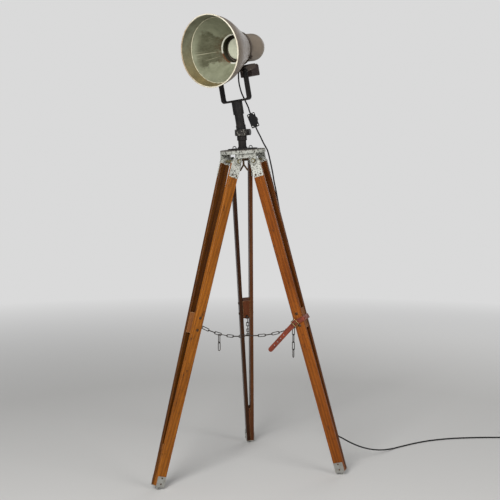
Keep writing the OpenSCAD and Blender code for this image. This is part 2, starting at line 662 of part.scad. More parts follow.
// A tapered filler between the rails, from one station down to another
module between_rails(from, to, depth) {
    half_top = rail_mid(from) - rail_face - fit_gap/2;
    half_foot = rail_mid(to) - rail_face - fit_gap/2;
    rotate([90, 0, 90]) translate([0, 0, -depth/2]) linear_extrude(depth)
        polygon([[-half_top, -from], [half_top, -from], [half_foot, -to], [-half_foot, -to]]);
}
block_foot = block_station + block_h;
wedge_foot = leg_len - rail_stop - 2;
module blocks(i) color("peru") at_leg(i) {
    between_rails(block_station, block_foot, block_w);
    between_rails(wedge_station, wedge_foot, block_w - 4);
}
bolt_head_r = 5.5;
bolt_head_t = 3;
screw_head_r = 3.2;
bolt_stations = [block_station + 0.2*block_h, block_foot - 0.2*block_h];
rivet_stations = [leg_len - rail_stop - 0.75*shoe_h, leg_len - rail_stop - 0.2*shoe_h];
// Bolt heads at the block, screw heads on the brackets, rivet heads on the shoe
module fasteners(i) color("dimgrey") at_leg(i) for (side = SIDES) at_rail(side) {
    for (s = bolt_stations) translate([0, rail_face, -s]) rotate([-90, 0, 0])
        dome_head(bolt_head_r, bolt_head_t);
    for (x = SIDES) translate([x*rail_w/4, rail_face + bracket_proud, -bracket_len + 9])
        rotate([-90, 0, 0]) dome_head(screw_head_r, 1.6);
    for (s = rivet_stations) translate([0, rail_face + shoe_t, -s]) rotate([-90, 0, 0])
        dome_head(screw_head_r, 1.6);
}
// The shoe: two side plates, a sole across both rails, and a rounded foot cut flat on the floor
sole_station = leg_len - rail_stop + fit_gap;
sole_half = rail_mid(sole_station) + rail_face + shoe_t/2;
shoe_lip = shoe_t + 1;
foot_flat = 0.5;
foot_collar_h = 4;
module shoe(i) color("silver") difference() {
    at_leg(i) {
        for (side = SIDES) at_rail(side)
            slab(rail_face, rail_face + shoe_t) translate([0, -sole_station + shoe_h/2 - shoe_lip])
                round_rect(shoe_w, shoe_h, 2);
        translate([1 - shoe_w/2, -sole_half, -sole_station - shoe_t])
            cube([shoe_w - 2, 2*sole_half, shoe_t]);
        translate([0, 0, -sole_station - shoe_t - foot_collar_h])
            cylinder(r1 = foot_collar_r - 1.5, r2 = foot_collar_r, h = foot_collar_h + shoe_t/2);
        translate([0, 0, foot_height(i)]) sphere(foot_r);
    }
    at_stance() translate(foot_tips[i] - [50, 50, 100]) cube(100);
}
// Height of the foot's centre in the leg's frame, so that it meets the floor foot_flat deep
function foot_height(i) = -leg_len + (foot_r - foot_flat)/-leg_dir(i, [0, 0, -1]).z;

// ---- spreader chain ----
eye_wire_r = 1.6;
eye_stem = 7;
eye_x = -block_w/2 - eye_stem - 2*eye_ring_r;
link_turn_r = link_w/2 - chain_wire_r;
function eye_depth(i) = i == LEFT ? eye_station - left_eye_lift : eye_station;
function eye_point(i) = leg_point(i, [eye_x, 0, -eye_depth(i)]);
eye_mean = (eye_point(LEFT) + eye_point(RIGHT) + eye_point(BACK))/3;
chain_mid = eye_mean - [0, 0, chain_drop];
mid_wire_r = 2;
module screw_eye(i) color("dimgrey") at_leg(i) {
    translate([eye_x + eye_ring_r, 0, -eye_depth(i)])
        rotate_extrude() translate([eye_ring_r, 0]) circle(eye_wire_r, $fn = 24);
    translate([-block_w/2 - eye_stem, 0, -eye_depth(i)]) rotate([0, 90, 0])
        cylinder(r = eye_wire_r + 0.4, h = eye_stem, $fn = 24);
    translate([-block_w/2 - 1, 0, -eye_depth(i)]) rotate([0, 90, 0]) cylinder(r = 5, h = 1, $fn = 32);
}
// The left and right arms stop short of the middle ring, the back arm ends round it
function arm_stop(i) =
    i == BACK ? mid_ring_r : mid_ring_r + mid_wire_r + open_gap + chain_wire_r;
function arm_end(i) = chain_mid + arm_stop(i)*unit(flat(eye_point(i) - chain_mid));
function arm_count(i) = round(norm(arm_end(i) - eye_point(i))/link_pitch);
// Points where one link hangs in the next, on a curve that levels out at the middle
function arm_points(i) = [for (k = [0:arm_count(i)])
    let (t = k/arm_count(i), a = eye_point(i), b = arm_end(i))
    [a.x + (b.x - a.x)*t, a.y + (b.y - a.y)*t, b.z + (a.z - b.z)*(1 - t)*(1 - t)]];
// One link of round wire, between two points, passing each by a reach, rolled about its length
module chain_link(a, b, reach_a, reach_b, roll) {
    d = b - a;
    start = link_turn_r - reach_a;
    stop = norm(d) + reach_b - link_turn_r;
    translate(a) rotate([0, -asin(d.z/norm(d)), atan2(d.y, d.x)]) rotate([roll, 0, 0]) {
        translate([start, 0, 0]) rotate([0, 0, 90]) link_turn();
        translate([stop, 0, 0]) rotate([0, 0, -90]) link_turn();
        for (side = SIDES) translate([start, side*link_turn_r, 0]) rotate([0, 90, 0])
            cylinder(r = chain_wire_r, h = stop - start, $fn = 24);
    }
}
module link_turn() rotate_extrude(angle = 180) translate([link_turn_r, 0]) circle(chain_wire_r, $fn = 24);
link_reach = chain_wire_r + chain_gap/2;
eye_reach = eye_wire_r + chain_wire_r + chain_gap/2;
ring_reach = mid_wire_r + chain_wire_r + chain_gap/2;
module chain_arm(i) {
    points = arm_points(i);
    last = len(points) - 2;
    for (k = [0:last]) chain_link(points[k], points[k + 1], k == 0 ? eye_reach : link_reach,
        k < last ? link_reach : (i == BACK ? ring_reach : 0), k % 2 == 0 ? 90 : 0);
}
// Links that hang straight down from a point, the first of them turned by a roll
module hanging_links(top, count, first_reach, way, roll) for (k = [0:count - 1])
    translate(top) rotate([0, 0, way]) chain_link([0, 0, -k*link_pitch], [0, 0, -(k + 1)*link_pitch],
        k == 0 ? first_reach : link_reach, link_reach, roll + (k % 2)*90);
function arm_heading(i) = let (d = chain_mid - eye_point(i)) atan2(d.y, d.x);
left_tail_link = 2;
left_tail_place = 0.7;
left_tail_links = 2;
// Where the loose links hang: on the lower wire of one of the left arm's upright links
left_tail_top = let (points = arm_points(LEFT))
    points[left_tail_link]*(1 - left_tail_place) + points[left_tail_link + 1]*left_tail_place
    - [0, 0, link_turn_r];
module left_chain() color("dimgrey") at_stance() chain_arm(LEFT);
module left_chain_tail() color("dimgrey") at_stance()
    hanging_links(left_tail_top, left_tail_links, 2*chain_wire_r + chain_gap/2, arm_heading(LEFT), 0);
module right_chain() color("dimgrey") at_stance() chain_arm(RIGHT);
module back_chain() color("dimgrey") at_stance() {
    chain_arm(BACK);
    translate(chain_mid) rotate_extrude() translate([mid_ring_r, 0]) circle(mid_wire_r, $fn = 24);
}
right_tail_links = 4;
// Where the right arm's loose links hang: round the eye's wire, beside the arm's first link
right_tail_y = 4.2;
right_tail_turn = 16;
right_tail_place = [eye_x + eye_ring_r - sqrt(pow(eye_ring_r, 2) - pow(right_tail_y, 2)), right_tail_y,
    -eye_station];
module right_chain_tail() color("dimgrey") at_stance()
    hanging_links(leg_point(RIGHT, right_tail_place), right_tail_links, eye_reach,
        arm_heading(RIGHT) - right_tail_turn, 90);

// ---- leather strap on the right leg ----
strap_clear = 0.4;
strap_half_x = rail_w/2 + strap_clear + strap_w/2*sin(strap_slope) + strap_t;
strap_half_y = rail_mid(strap_station - strap_w) + rail_face + strap_clear + strap_t;
strap_corner = 5;
module at_strap() at_leg(RIGHT) translate([0, 0, -strap_station]) rotate([0, -strap_slope, 0]) children();
module strap_loop() color("brown") at_strap() translate([0, 0, -strap_w/2]) linear_extrude(strap_w)
    difference() {
        round_rect(2*strap_half_x/cos(strap_slope), 2*strap_half_y, strap_corner);
        round_rect(2*strap_half_x/cos(strap_slope) - 2*strap_t, 2*(strap_half_y - strap_t),
            strap_corner - strap_t);
    }
// The free end runs out of the buckle and down, stiff enough to keep its slope
buckle_x = -strap_half_x/cos(strap_slope) + 12;
strap_tail_way = 72;
tail_y = -strap_half_y - strap_t - fit_gap;
module at_buckle() at_strap() translate([buckle_x, tail_y, 0]) rotate([0, strap_tail_way, 0]) children();
hole_pitch = 19;
hole_first = 68;
strap_holes = 4;
module strap_tail() color("brown") at_buckle() slab(0, strap_t) difference() {
    union() {
        translate([-strap_w/2, -strap_tail_len + strap_w/2]) square([strap_w, strap_tail_len]);
        translate([0, -strap_tail_len + strap_w/2]) circle(strap_w/2);
    }
    for (k = [0:strap_holes - 1]) translate([0, -hole_first - k*hole_pitch]) circle(2, $fn = 24);
}
buckle_wire_r = 1.6;
module strap_buckle() color("goldenrod") at_buckle() {
    half_w = strap_w/2 + 3;
    for (z = [-8, 10]) translate([0, -buckle_wire_r - fit_gap, z])
        rotate([0, 90, 0]) translate([0, 0, -half_w]) cylinder(r = buckle_wire_r, h = 2*half_w, $fn = 24);
    for (x = SIDES) translate([x*half_w, -buckle_wire_r - fit_gap, -8])
        cylinder(r = buckle_wire_r, h = 18, $fn = 24);
    translate([0, -buckle_wire_r - fit_gap, -9]) cylinder(r = 1.3, h = 20, $fn = 24);
}

// ---- mains lead: places from the lamp's and the leg's own sizes, and points chosen between ----
function post_dir(v) = head_dir(turn_z(turn_y(turn_z(v, -post_lean_way), post_lean), post_lean_way));
function lamp_dir(v) = post_dir(turn_z(turn_y(v, lamp_tilt), lamp_heading));
pivot_point = head_point([0, 0, knuckle_z]) + post_dir([0, 0, post_len + yoke_t + pivot_rise]);
function lamp_point(v) = pivot_point + lamp_dir(v);
function gland_point(reach) = lamp_point([gland_x + relief_len + reach, 0, gland_z]);
// A place beside the right leg's far rail, on its outer face
cord_x = 10;
rail_clear = 0.4;
strap_rise = strap_clear + strap_t;
function beside_rail(x, station, lift) =
    leg_point(RIGHT, [x, rail_mid(station) + rail_face + cord_r + rail_clear + lift, -station]);
// A place on the dimmer's axis
dimmer_mid = [40, 12, 1361];
dimmer_slope = 22;
function dimmer_point(z) = dimmer_mid + turn_y([0, 0, z], -dimmer_slope);

yoke_pass = [6, 16, 1443];
yoke_way = unit([9, -1, -19]);
floor_meet = [630, 272, 3];
coil_mid = [1215, 484, 3];
coil_turns = 2;
coil_pitch = cord_d + 0.6;
coil_outer_r = coil_r + coil_turns*coil_pitch/2;
coil_inner_r = coil_outer_r - coil_turns*coil_pitch;

drop_points = [
    gland_point(-8), gland_point(0), gland_point(6),
    [-12, 28, 1550], [-16, 21, 1541], [-16, 19, 1528], [-15, 19, 1510], [-10, 18, 1484],
    yoke_pass - 20*yoke_way, yoke_pass
];
link_points = [
    yoke_pass + 0.1*yoke_way, yoke_pass + 11*yoke_way, [22, 13, 1409],
    dimmer_point(dimmer_len/2 + 10), dimmer_point(dimmer_len/2)
];
leg_points = concat(
    [dimmer_point(-dimmer_len/2), dimmer_point(-dimmer_len/2 - 10)],
    [[67, 12, 1301], [82, 10, 1270], [95, 8, 1247], [103, 7, 1217], [110, 7, 1186],
        [116, 7, 1156], [121, 6, 1125], [127, 5, 1098], [132, 5, 1071]],
    [beside_rail(14, 225, 0), beside_rail(cord_x, 300, 0), beside_rail(cord_x, 560, 0),
        beside_rail(cord_x, 610, strap_rise), beside_rail(cord_x, 650, strap_rise),
        beside_rail(cord_x, 700, 0), beside_rail(cord_x, 1020, 0), beside_rail(cord_x, 1060, 0)],
    [[368, -38, 143], [390, -12, 124], [421, 26, 98], [470, 85, 63], [530, 155, 31], [584, 218, 12],
        floor_meet]
);
floor_points = [
    floor_meet, [672, 307, 3], [717, 342, 3], [801, 394, 3], [880, 423, 3], [982, 441, 3],
    [1116, 446, 3], [1190, 446, 3], coil_mid + [-cord_d, -coil_outer_r, 0]
];

// Smooth curve through points, with more steps where it bends
function through(points) = let (last = len(points) - 1, slopes = [for (k = [0:last])
    k == 0 ? unit(points[1] - points[0]) :
    k == last ? unit(points[last] - points[last - 1]) :
    let (a = points[k] - points[k - 1], b = points[k + 1] - points[k], la = norm(a), lb = norm(b))
    (a*lb/la + b*la/lb)/(la + lb)])
    concat([for (k = [0:last - 1])
        let (p = points[k], q = points[k + 1], span = norm(q - p),
            steps = bend_steps(slopes[k], slopes[k + 1]))
        for (j = [0:steps - 1]) let (t = j/steps)
            p*(2*t*t*t - 3*t*t + 1) + slopes[k]*span*(t*t*t - 2*t*t + t)
            + q*(3*t*t - 2*t*t*t) + slopes[k + 1]*span*(t*t*t - t*t)], [points[last]]);
step_bend = 14;
function bend_steps(a, b) = max(1, ceil(acos(min(1, unit(a)*unit(b)))/step_bend));

// A round tube of flat triangles along a path, its rings carried on without a twist
function path_dirs(path) = let (last = len(path) - 1)
    [for (k = [0:last]) unit(path[min(k + 1, last)] - path[max(k - 1, 0)])];
function square_to(v, d) = unit(v - d*(v*d));
function ring_axes(dirs) = let (last = len(dirs) - 1)
    [for (k = 0, v = square_to(abs(dirs[0].x) < 0.9 ? [1, 0, 0] : [0, 1, 0], dirs[0]); k <= last;
        k = k + 1, v = k <= last ? square_to(v, dirs[k]) : v) v];
module tube(path, r, sides) {
    dirs = path_dirs(path);
    axes = ring_axes(dirs);
    last = len(path) - 1;
    places = [for (k = [0:last], j = [0:sides - 1]) let (a = 360*j/sides)
        path[k] + r*(axes[k]*cos(a) + cross(dirs[k], axes[k])*sin(a))];
    walls = [for (k = [0:last - 1], j = [0:sides - 1])
        let (a = k*sides + j, b = k*sides + (j + 1) % sides)
        each [[a, b + sides, b], [a, a + sides, b + sides]]];
    ends = [for (j = [1:sides - 2]) each [[0, j, j + 1],
        [last*sides, last*sides + j + 1, last*sides + j]]];
    polyhedron(places, concat(walls, ends), convexity = 10);
}
cord_sides = 8;
module cord(points) color("black") at_stance() tube(through(points), cord_r, cord_sides);
function path_length(path) = let (steps = [for (k = [1:len(path) - 1]) norm(path[k] - path[k - 1])])
    steps*[for (step = steps) 1];

// The stored coil: one layer wound in, a climb, and one layer wound out on top of it
coil_tuck = 1.5;
rings_a_loop = 24;
coil_step = 360/rings_a_loop;
coil_in = [for (a = [0:coil_step:360*coil_turns - 1]) [coil_outer_r - coil_pitch*a/360, a - 90, 0]];
coil_climb = [for (a = [0:coil_step:180 - 1])
    [coil_inner_r - coil_tuck*sin(a), a + 360*coil_turns - 90, coil_pitch*(1 - cos(a))/2]];
coil_out = [for (a = [0:coil_step:360*coil_turns])
    [coil_inner_r + coil_pitch*a/360, a + 360*coil_turns + 90, coil_pitch]];
coil_curve = [for (p = concat(coil_in, coil_climb, coil_out))
    coil_mid + [p.x*cos(p.y), p.x*sin(p.y), p.z]];
coil_end = coil_curve[len(coil_curve) - 1] - [cord_d, 0, 0];
coil_path = concat([coil_mid + [-cord_d, -coil_outer_r, 0]], coil_curve, [coil_end]);
coil_sides = 6;
module cord_coil() color("black") at_stance() tube(coil_path, cord_r, coil_sides);
// Least gap between turns: places at least half a turn apart along the coil
coil_gap = min([for (i = [0:len(coil_path) - 1])
    for (j = [i + rings_a_loop/2:1:len(coil_path) - 1]) norm(coil_path[i] - coil_path[j])]) - cord_d;
echo(coil_gap = coil_gap);
echo(cord_length = [for (p = [through(drop_points), through(link_points), through(leg_points),
    through(floor_points), coil_path]) path_length(p)]);

// ---- clips that hold the lead to the leg ----
clip_stations = [330, 1040];
clip_w = 8;
clip_t = 1.2;
clip_foot = 6;
module cord_clips() color("black") at_leg(RIGHT) at_rail(1) for (s = clip_stations)
    translate([cord_x, rail_face, -s]) {
        bore_r = cord_r + fit_gap;
        linear_extrude(clip_w) difference() {
            union() {
                translate([0, cord_r + rail_clear]) circle(bore_r + clip_t);
                translate([-bore_r - clip_t, 0]) square([2*(bore_r + clip_t), cord_r + rail_clear]);
                translate([-bore_r - clip_foot, 0]) square([2*(bore_r + clip_foot), clip_t]);
            }
            translate([0, cord_r + rail_clear]) circle(bore_r);
            translate([-bore_r, -1]) square([2*bore_r, cord_r + rail_clear + 1]);
            translate([-50, -100]) square(100);
        }
        for (x = SIDES) translate([x*(bore_r + clip_foot - 2.4), clip_t, clip_w/2]) rotate([-90, 0, 0])
            dome_head(1.6, 1);
    }

// ---- dimmer: two half shells, four screws and a thumbwheel at the edge ----
module at_dimmer() at_stance() translate(dimmer_mid) rotate([0, -dimmer_slope, 0]) children();
wheel_r = 13;
wheel_t = 8;
wheel_out = 4;
wheel_pin_r = 2.5;
wheel_x = dimmer_w/2 + wheel_out - wheel_r;
wheel_ribs = 24;
dimmer_round = 4;
dimmer_split = fit_gap/2;
module dimmer_half(y0, y1) difference() {
    slab(y0, y1) round_rect(dimmer_w, dimmer_len, dimmer_round);
    translate([wheel_x, 0, 0]) rod_y(wheel_r + 0.6, -wheel_t/2 - 0.4, wheel_t/2 + 0.4);
}
module dimmer_base() color("dimgrey") at_dimmer() {
    dimmer_half(dimmer_split, dimmer_t/2);
    translate([wheel_x, 0, 0]) rod_y(wheel_pin_r, -wheel_t/2, wheel_t/2 + 1);
}
module dimmer_cover() color("dimgrey") at_dimmer() difference() {
    dimmer_half(-dimmer_t/2, -dimmer_split);
    // A shallow step along the cover's edge
    slab(-dimmer_t/2 - 1, -dimmer_t/2 + 1) difference() {
        square([2*dimmer_w, 2*dimmer_len], center = true);
        round_rect(dimmer_w - 3, dimmer_len - 3, dimmer_round - 1.5);
    }
}
dimmer_screw_in = 5.5;
module dimmer_screws() color("silver") at_dimmer() for (x = SIDES, z = SIDES)
    translate([x*(dimmer_w/2 - dimmer_screw_in), -dimmer_t/2, z*(dimmer_len/2 - dimmer_screw_in)])
        rotate([90, 0, 0]) dome_head(2.2, 1.2);
module dimmer_wheel() color("black") at_dimmer() translate([wheel_x, 0, 0]) difference() {
    rod_y(wheel_r, -wheel_t/2, wheel_t/2);
    rod_y(wheel_pin_r + run_gap, -wheel_t, wheel_t);
    for (k = [0:wheel_ribs - 1]) rotate([0, k*360/wheel_ribs, 0]) translate([wheel_r + 0.4, 0, 0])
        rotate([90, 0, 0]) cylinder(r = 1, h = 2*wheel_t, center = true, $fn = 12);
}

// ---- plug, lying beside the coil ----
plug_h = 18;
plug_neck = 14;
plug_len = 36;
plug_w = 26;
pin_len = 19;
pin_spacing = 18.6;
pin_r = 2;
module at_plug() at_stance() translate(coil_end) rotate([0, 0, 180]) children();
module plug_body() color("black") at_plug() {
    rotate([0, 90, 0]) cylinder(r1 = cord_r + 0.8, r2 = cord_r + 3, h = plug_neck + 2);
    intersection() {
        translate([plug_neck, 0, -plug_h/2]) linear_extrude(plug_h) hull() {
            translate([6, 0]) circle(6);
            for (y = SIDES) translate([plug_len - 4, y*(plug_w/2 - 4)]) circle(4);
        }
        translate([plug_neck, 0, 0]) slab(-plug_w, plug_w) hull() {
            translate([5, 0]) circle(5);
            for (z = SIDES) translate([plug_len - 3, z*(plug_h/2 - 3)]) circle(3);
        }
    }
}
module plug_pins() color("gold") at_plug() for (y = SIDES)
    translate([plug_neck + plug_len, y*pin_spacing/2, 0]) rotate([0, 90, 0]) {
        cylinder(r = pin_r, h = pin_len - 2);
        translate([0, 0, pin_len - 2]) cylinder(r1 = pin_r, r2 = pin_r*0.6, h = 2);
    }

// ---- what the file draws ----
head_casting();
hinge_bolts();
top_flange();
column();
clamp_collar();
wing_screw();
clamp_knob();
rails(LEFT);  // left_rails
brackets(LEFT);  // left_brackets
blocks(LEFT);  // left_blocks
fasteners(LEFT);  // left_fasteners
shoe(LEFT);  // left_shoe
screw_eye(LEFT);  // left_eye
rails(RIGHT);  // right_rails
brackets(RIGHT);  // right_brackets
blocks(RIGHT);  // right_blocks
fasteners(RIGHT);  // right_fasteners
shoe(RIGHT);  // right_shoe
screw_eye(RIGHT);  // right_eye
rails(BACK);  // back_rails
brackets(BACK);  // back_brackets
blocks(BACK);  // back_blocks
fasteners(BACK);  // back_fasteners
shoe(BACK);  // back_shoe
screw_eye(BACK);  // back_eye
left_chain();
right_chain();
back_chain();
left_chain_tail();
right_chain_tail();
strap_loop();
strap_tail();
strap_buckle();
post();
yoke();
pivot_bolts();
reflector_shell();
rim_bead();
reflector_liner();
neck_ring();
collar_band();
rear_housing();
lampholder();
bulb();
saddle();
terminal_box();
box_cover();
strain_relief();
cord(drop_points);  // cord_drop
cord(link_points);  // cord_link
cord(leg_points);  // cord_leg
cord(floor_points);  // cord_floor
cord_coil();
cord_clips();
dimmer_base();
dimmer_cover();
dimmer_screws();
dimmer_wheel();
plug_body();
plug_pins();
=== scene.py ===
import json
from math import cos, pi, radians, sin

import bmesh
import bpy
import numpy as np
from mathutils import Matrix, Vector


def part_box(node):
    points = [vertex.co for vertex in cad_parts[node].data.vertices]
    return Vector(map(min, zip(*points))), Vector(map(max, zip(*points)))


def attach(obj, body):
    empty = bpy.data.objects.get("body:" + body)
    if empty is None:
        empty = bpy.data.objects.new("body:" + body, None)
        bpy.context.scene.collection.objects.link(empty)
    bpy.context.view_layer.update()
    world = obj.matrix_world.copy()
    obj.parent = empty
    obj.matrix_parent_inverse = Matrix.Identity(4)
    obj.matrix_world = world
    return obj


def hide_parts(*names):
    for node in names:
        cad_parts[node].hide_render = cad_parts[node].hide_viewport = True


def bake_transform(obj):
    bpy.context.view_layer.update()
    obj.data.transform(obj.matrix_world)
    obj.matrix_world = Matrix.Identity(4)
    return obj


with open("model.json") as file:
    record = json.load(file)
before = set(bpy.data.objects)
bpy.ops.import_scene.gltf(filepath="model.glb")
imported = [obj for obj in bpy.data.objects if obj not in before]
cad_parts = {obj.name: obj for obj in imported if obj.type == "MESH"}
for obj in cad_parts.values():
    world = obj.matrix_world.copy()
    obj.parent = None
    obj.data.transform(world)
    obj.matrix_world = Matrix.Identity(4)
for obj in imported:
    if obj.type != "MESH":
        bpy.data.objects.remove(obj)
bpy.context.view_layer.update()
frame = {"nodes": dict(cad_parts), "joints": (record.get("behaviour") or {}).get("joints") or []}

NODES = frame["nodes"]
JOINTS = {joint["name"]: joint for joint in frame["joints"]}

# The part's source measures from the tripod's own centre, in millimetres
STANCE_MIDDLE = np.array([34.4308, 64.0538, 0.0])


def place(*points):
    """Source millimetres to metres in the frame."""
    return (np.array(points, float) - STANCE_MIDDLE) / 1000


def unit(vector):
    return np.asarray(vector, float) / np.linalg.norm(vector)


def turned_about(axis_from, axis_to, degrees):
    """The two axes turned by an angle in their own plane, the first towards the second."""
    c, s = cos(radians(degrees)), sin(radians(degrees))
    return c * axis_from + s * axis_to, c * axis_to - s * axis_from


# ---------------------------------------------------------------- axes of the legs and the lamp

def leg_axes(name):
    """Origin at the leg's hinge, then its sideways, hinge and upward directions as rows."""
    joint = JOINTS[name + "_leg_fold"]
    origin, hinge_way = np.array(joint["pos_m"]), unit(joint["axis"])
    low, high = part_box(name + "_shoe")
    foot = (np.array(low) + np.array(high)) / 2
    up = unit(origin - foot)
    up = unit(up - hinge_way * (up @ hinge_way))
    return origin, np.array([np.cross(hinge_way, up), hinge_way, up])


LEGS = {name: leg_axes(name) for name in ("left", "right", "back")}
LAMP_FORWARD = np.array([-0.592528, -0.795592, -0.126268])
LAMP_SIDE = unit(JOINTS["lamp_tilt"]["axis"])
LAMP_UP = np.cross(LAMP_FORWARD, LAMP_SIDE)
RIM_CENTRE = place([-121.493, -103.727, 1612.77])[0]
LAMP = (RIM_CENTRE, np.array([LAMP_SIDE, LAMP_UP, LAMP_FORWARD]))
POST_UP = unit(JOINTS["lamp_turn"]["axis"])
POST_SIDE = unit(np.cross([0, 1, 0], POST_UP))
POST = (np.array(JOINTS["lamp_turn"]["pos_m"]), np.array([POST_SIDE, np.cross(POST_UP, POST_SIDE), POST_UP]))


# ---------------------------------------------------------------- surfaces

def grid_faces(rows, columns, round_rows, round_columns):
    """Quads between neighbouring grid points, joined across the end where a way is round."""
    i, j = np.meshgrid(np.arange(rows if round_rows else rows - 1),
                       np.arange(columns if round_columns else columns - 1), indexing="ij")
    a, b = i * columns + j, ((i + 1) % rows) * columns + j
    c, d = ((i + 1) % rows) * columns + (j + 1) % columns, i * columns + (j + 1) % columns
    return np.stack([a, b, c, d], -1).reshape(-1, 4)


def piece(name, points, faces, corner_uv=None, smooth=True):
    """Mesh object from whole arrays of points and quads, with an optional UV for each corner."""
    mesh = bpy.data.meshes.new(name)
    mesh.from_pydata(points.tolist(), [], faces.tolist())
    mesh.polygons.foreach_set("use_smooth", np.full(len(mesh.polygons), smooth))
    if corner_uv is not None:
        mesh.uv_layers.new(name="along")
        mesh.uv_layers["along"].data.foreach_set("uv", corner_uv.astype(np.float32).ravel())
    mesh.update()
    made = bpy.data.objects.new(name, mesh)
    bpy.context.scene.collection.objects.link(made)
    return made


def steps_of(points):
    """Distance from each point to the next."""
    return np.linalg.norm(np.diff(points, axis=0), axis=1)


def smooth_route(points, step_bend=7):
    """Hermite curve through the points, its slopes weighted by the chords, finer where it bends."""
    points = np.asarray(points, float)
    legs = np.diff(points, axis=0)
    lengths = steps_of(points)
    slopes = np.empty_like(points)
    slopes[0], slopes[-1] = legs[0] / lengths[0], legs[-1] / lengths[-1]
    before, after = lengths[:-1, None], lengths[1:, None]
    slopes[1:-1] = (legs[:-1] * after / before + legs[1:] * before / after) / (before + after)
    route = []
    for k, span in enumerate(lengths):
        cosine = np.clip(unit(slopes[k]) @ unit(slopes[k + 1]), -1, 1)
        steps = max(2, int(np.ceil(np.degrees(np.arccos(cosine)) / step_bend)), int(span // 30))
        t = np.arange(steps)[:, None] / steps
        route.append(points[k] * (2*t**3 - 3*t**2 + 1) + slopes[k] * span * (t**3 - 2*t**2 + t)
                     + points[k + 1] * (3*t**2 - 2*t**3) + slopes[k + 1] * span * (t**3 - t**2))
    return np.vstack(route + [points[-1:]])


def frames_along(route):
    """Two directions across the route at each point, carried on without a twist."""
    ways = np.gradient(route, axis=0)
    ways /= np.linalg.norm(ways, axis=1)[:, None]
    across = np.empty_like(ways)
    side = np.cross(ways[0], [0.0, 0.0, 1.0])
    side = unit(side if np.linalg.norm(side) > 0.1 else np.cross(ways[0], [0.0, 1.0, 0.0]))
    for k, way in enumerate(ways):
        side = unit(side - way * (side @ way))
        across[k] = side
    return across, np.cross(ways, across)


def tube(name, route, radius, ring=20):
    """A circle of the radius carried along the route, its ends drawn in to a point each.
    The UV runs along the route in metres and round it from 0 to 1."""
    across, up = frames_along(route)
    angle = np.arange(ring) * 2 * pi / ring
    circle = across[:, None] * np.cos(angle)[None, :, None] + up[:, None] * np.sin(angle)[None, :, None]
    rings = route[:, None] + radius * circle
    ends = [np.broadcast_to(route[k], (1, ring, 3)) for k in (0, -1)]
    rings = np.concatenate([ends[0], rings, ends[1]])
    far = np.concatenate([[0], np.cumsum(steps_of(route))])
    far = np.concatenate([[0], far, far[-1:]])
    faces = grid_faces(len(rings), ring, False, True)
    row, column = faces // ring, np.tile(np.arange(ring), len(rings) - 1)
    u = far[row]
    v = np.stack([column, column, column + 1, column + 1], -1) / ring
    return piece(name, rings.reshape(-1, 3), faces, np.stack([u, v], -1).reshape(-1, 2))


# ---------------------------------------------------------------- node helpers

def add(tree, kind, inputs=None, **settings):
    """A shader node with its settings; each input is linked if it is a socket and set if it is a value."""
    node = tree.nodes.new("ShaderNode" + kind)
    for key, value in settings.items():
        setattr(node, key, value)
    for key, value in (inputs or {}).items():
        if isinstance(value, bpy.types.NodeSocket):
            tree.links.new(value, node.inputs[key])
        else:
            node.inputs[key].default_value = value
    return node


def calc(tree, operation, a, b=0.0, clamp=False):
    return add(tree, "Math", {0: a, 1: b}, operation=operation, use_clamp=clamp).outputs[0]


def times(tree, a, b):
    return calc(tree, "MULTIPLY", a, b)


def plus(tree, a, b, clamp=False):
    return calc(tree, "ADD", a, b, clamp)


def minus(tree, a, b, clamp=False):
    return calc(tree, "SUBTRACT", a, b, clamp)


def greater(tree, a, b):
    return calc(tree, "MAXIMUM", a, b)


def spread(tree, value, low, high, to_low=0.0, to_high=1.0):
    """The value mapped from one range to another, clamped."""
    return add(tree, "MapRange", {0: value, 1: low, 2: high, 3: to_low, 4: to_high}).outputs[0]


def cloud(tree, vector, scale, detail=4.0, rough=0.55, distortion=0.0):
    return add(tree, "TexNoise", {"Vector": vector, "Scale": scale, "Detail": detail, "Roughness": rough,
                                  "Distortion": distortion}).outputs["Fac"]


def opaque(colour):
    """Red, green and blue get an alpha of one; a socket stays as it is."""
    return (*colour, 1.0) if isinstance(colour, tuple) else colour


def mix(tree, factor, a, b, way="MIX"):
    """Two colours mixed by a factor."""
    colours = {0: factor, 6: opaque(a), 7: opaque(b)}
    return add(tree, "Mix", colours, data_type="RGBA", blend_type=way).outputs[2]


def over(tree, colour, top, mask, most):
    """The top colour laid over another where the mask is high, to a share of most."""
    return mix(tree, times(tree, mask, most), colour, top)


def tinted(tree, colour, *rgb):
    """A colour multiplied by another."""
    return mix(tree, 1.0, colour, rgb, "MULTIPLY")


def parts_of(tree, vector):
    return add(tree, "SeparateXYZ", {0: vector}).outputs


def stretch(tree, vector, scale):
    return add(tree, "VectorMath", {0: vector, 1: scale}, operation="MULTIPLY").outputs[0]


def shifted(tree, vector, by):
    return add(tree, "VectorMath", {0: vector, 1: by}, operation="ADD").outputs[0]


def dot(tree, a, b):
    return add(tree, "VectorMath", {0: a, 1: b}, operation="DOT_PRODUCT").outputs["Value"]


def from_axis(tree, vector):
    """The unit direction from the Z axis out to a point."""
    flat = stretch(tree, vector, (1.0, 1.0, 0.0))
    return add(tree, "VectorMath", {0: flat}, operation="NORMALIZE").outputs[0]


def depth_of(tree, spot):
    """How far a point lies behind the rim, on the lamp's own axes."""
    return times(tree, parts_of(tree, spot)[2], -1.0)


def object_place(tree):
    return add(tree, "TexCoord").outputs["Object"]


def along_axes(tree, axes):
    """Object coordinates turned so that Z runs along the piece's own length."""
    origin, rows = axes
    turn = Matrix(rows.tolist())
    shift = -(rows @ np.asarray(origin))
    return add(tree, "Mapping", {"Vector": object_place(tree), "Location": shift.tolist(),
                                 "Rotation": turn.to_euler("XYZ")}, vector_type="POINT").outputs[0]


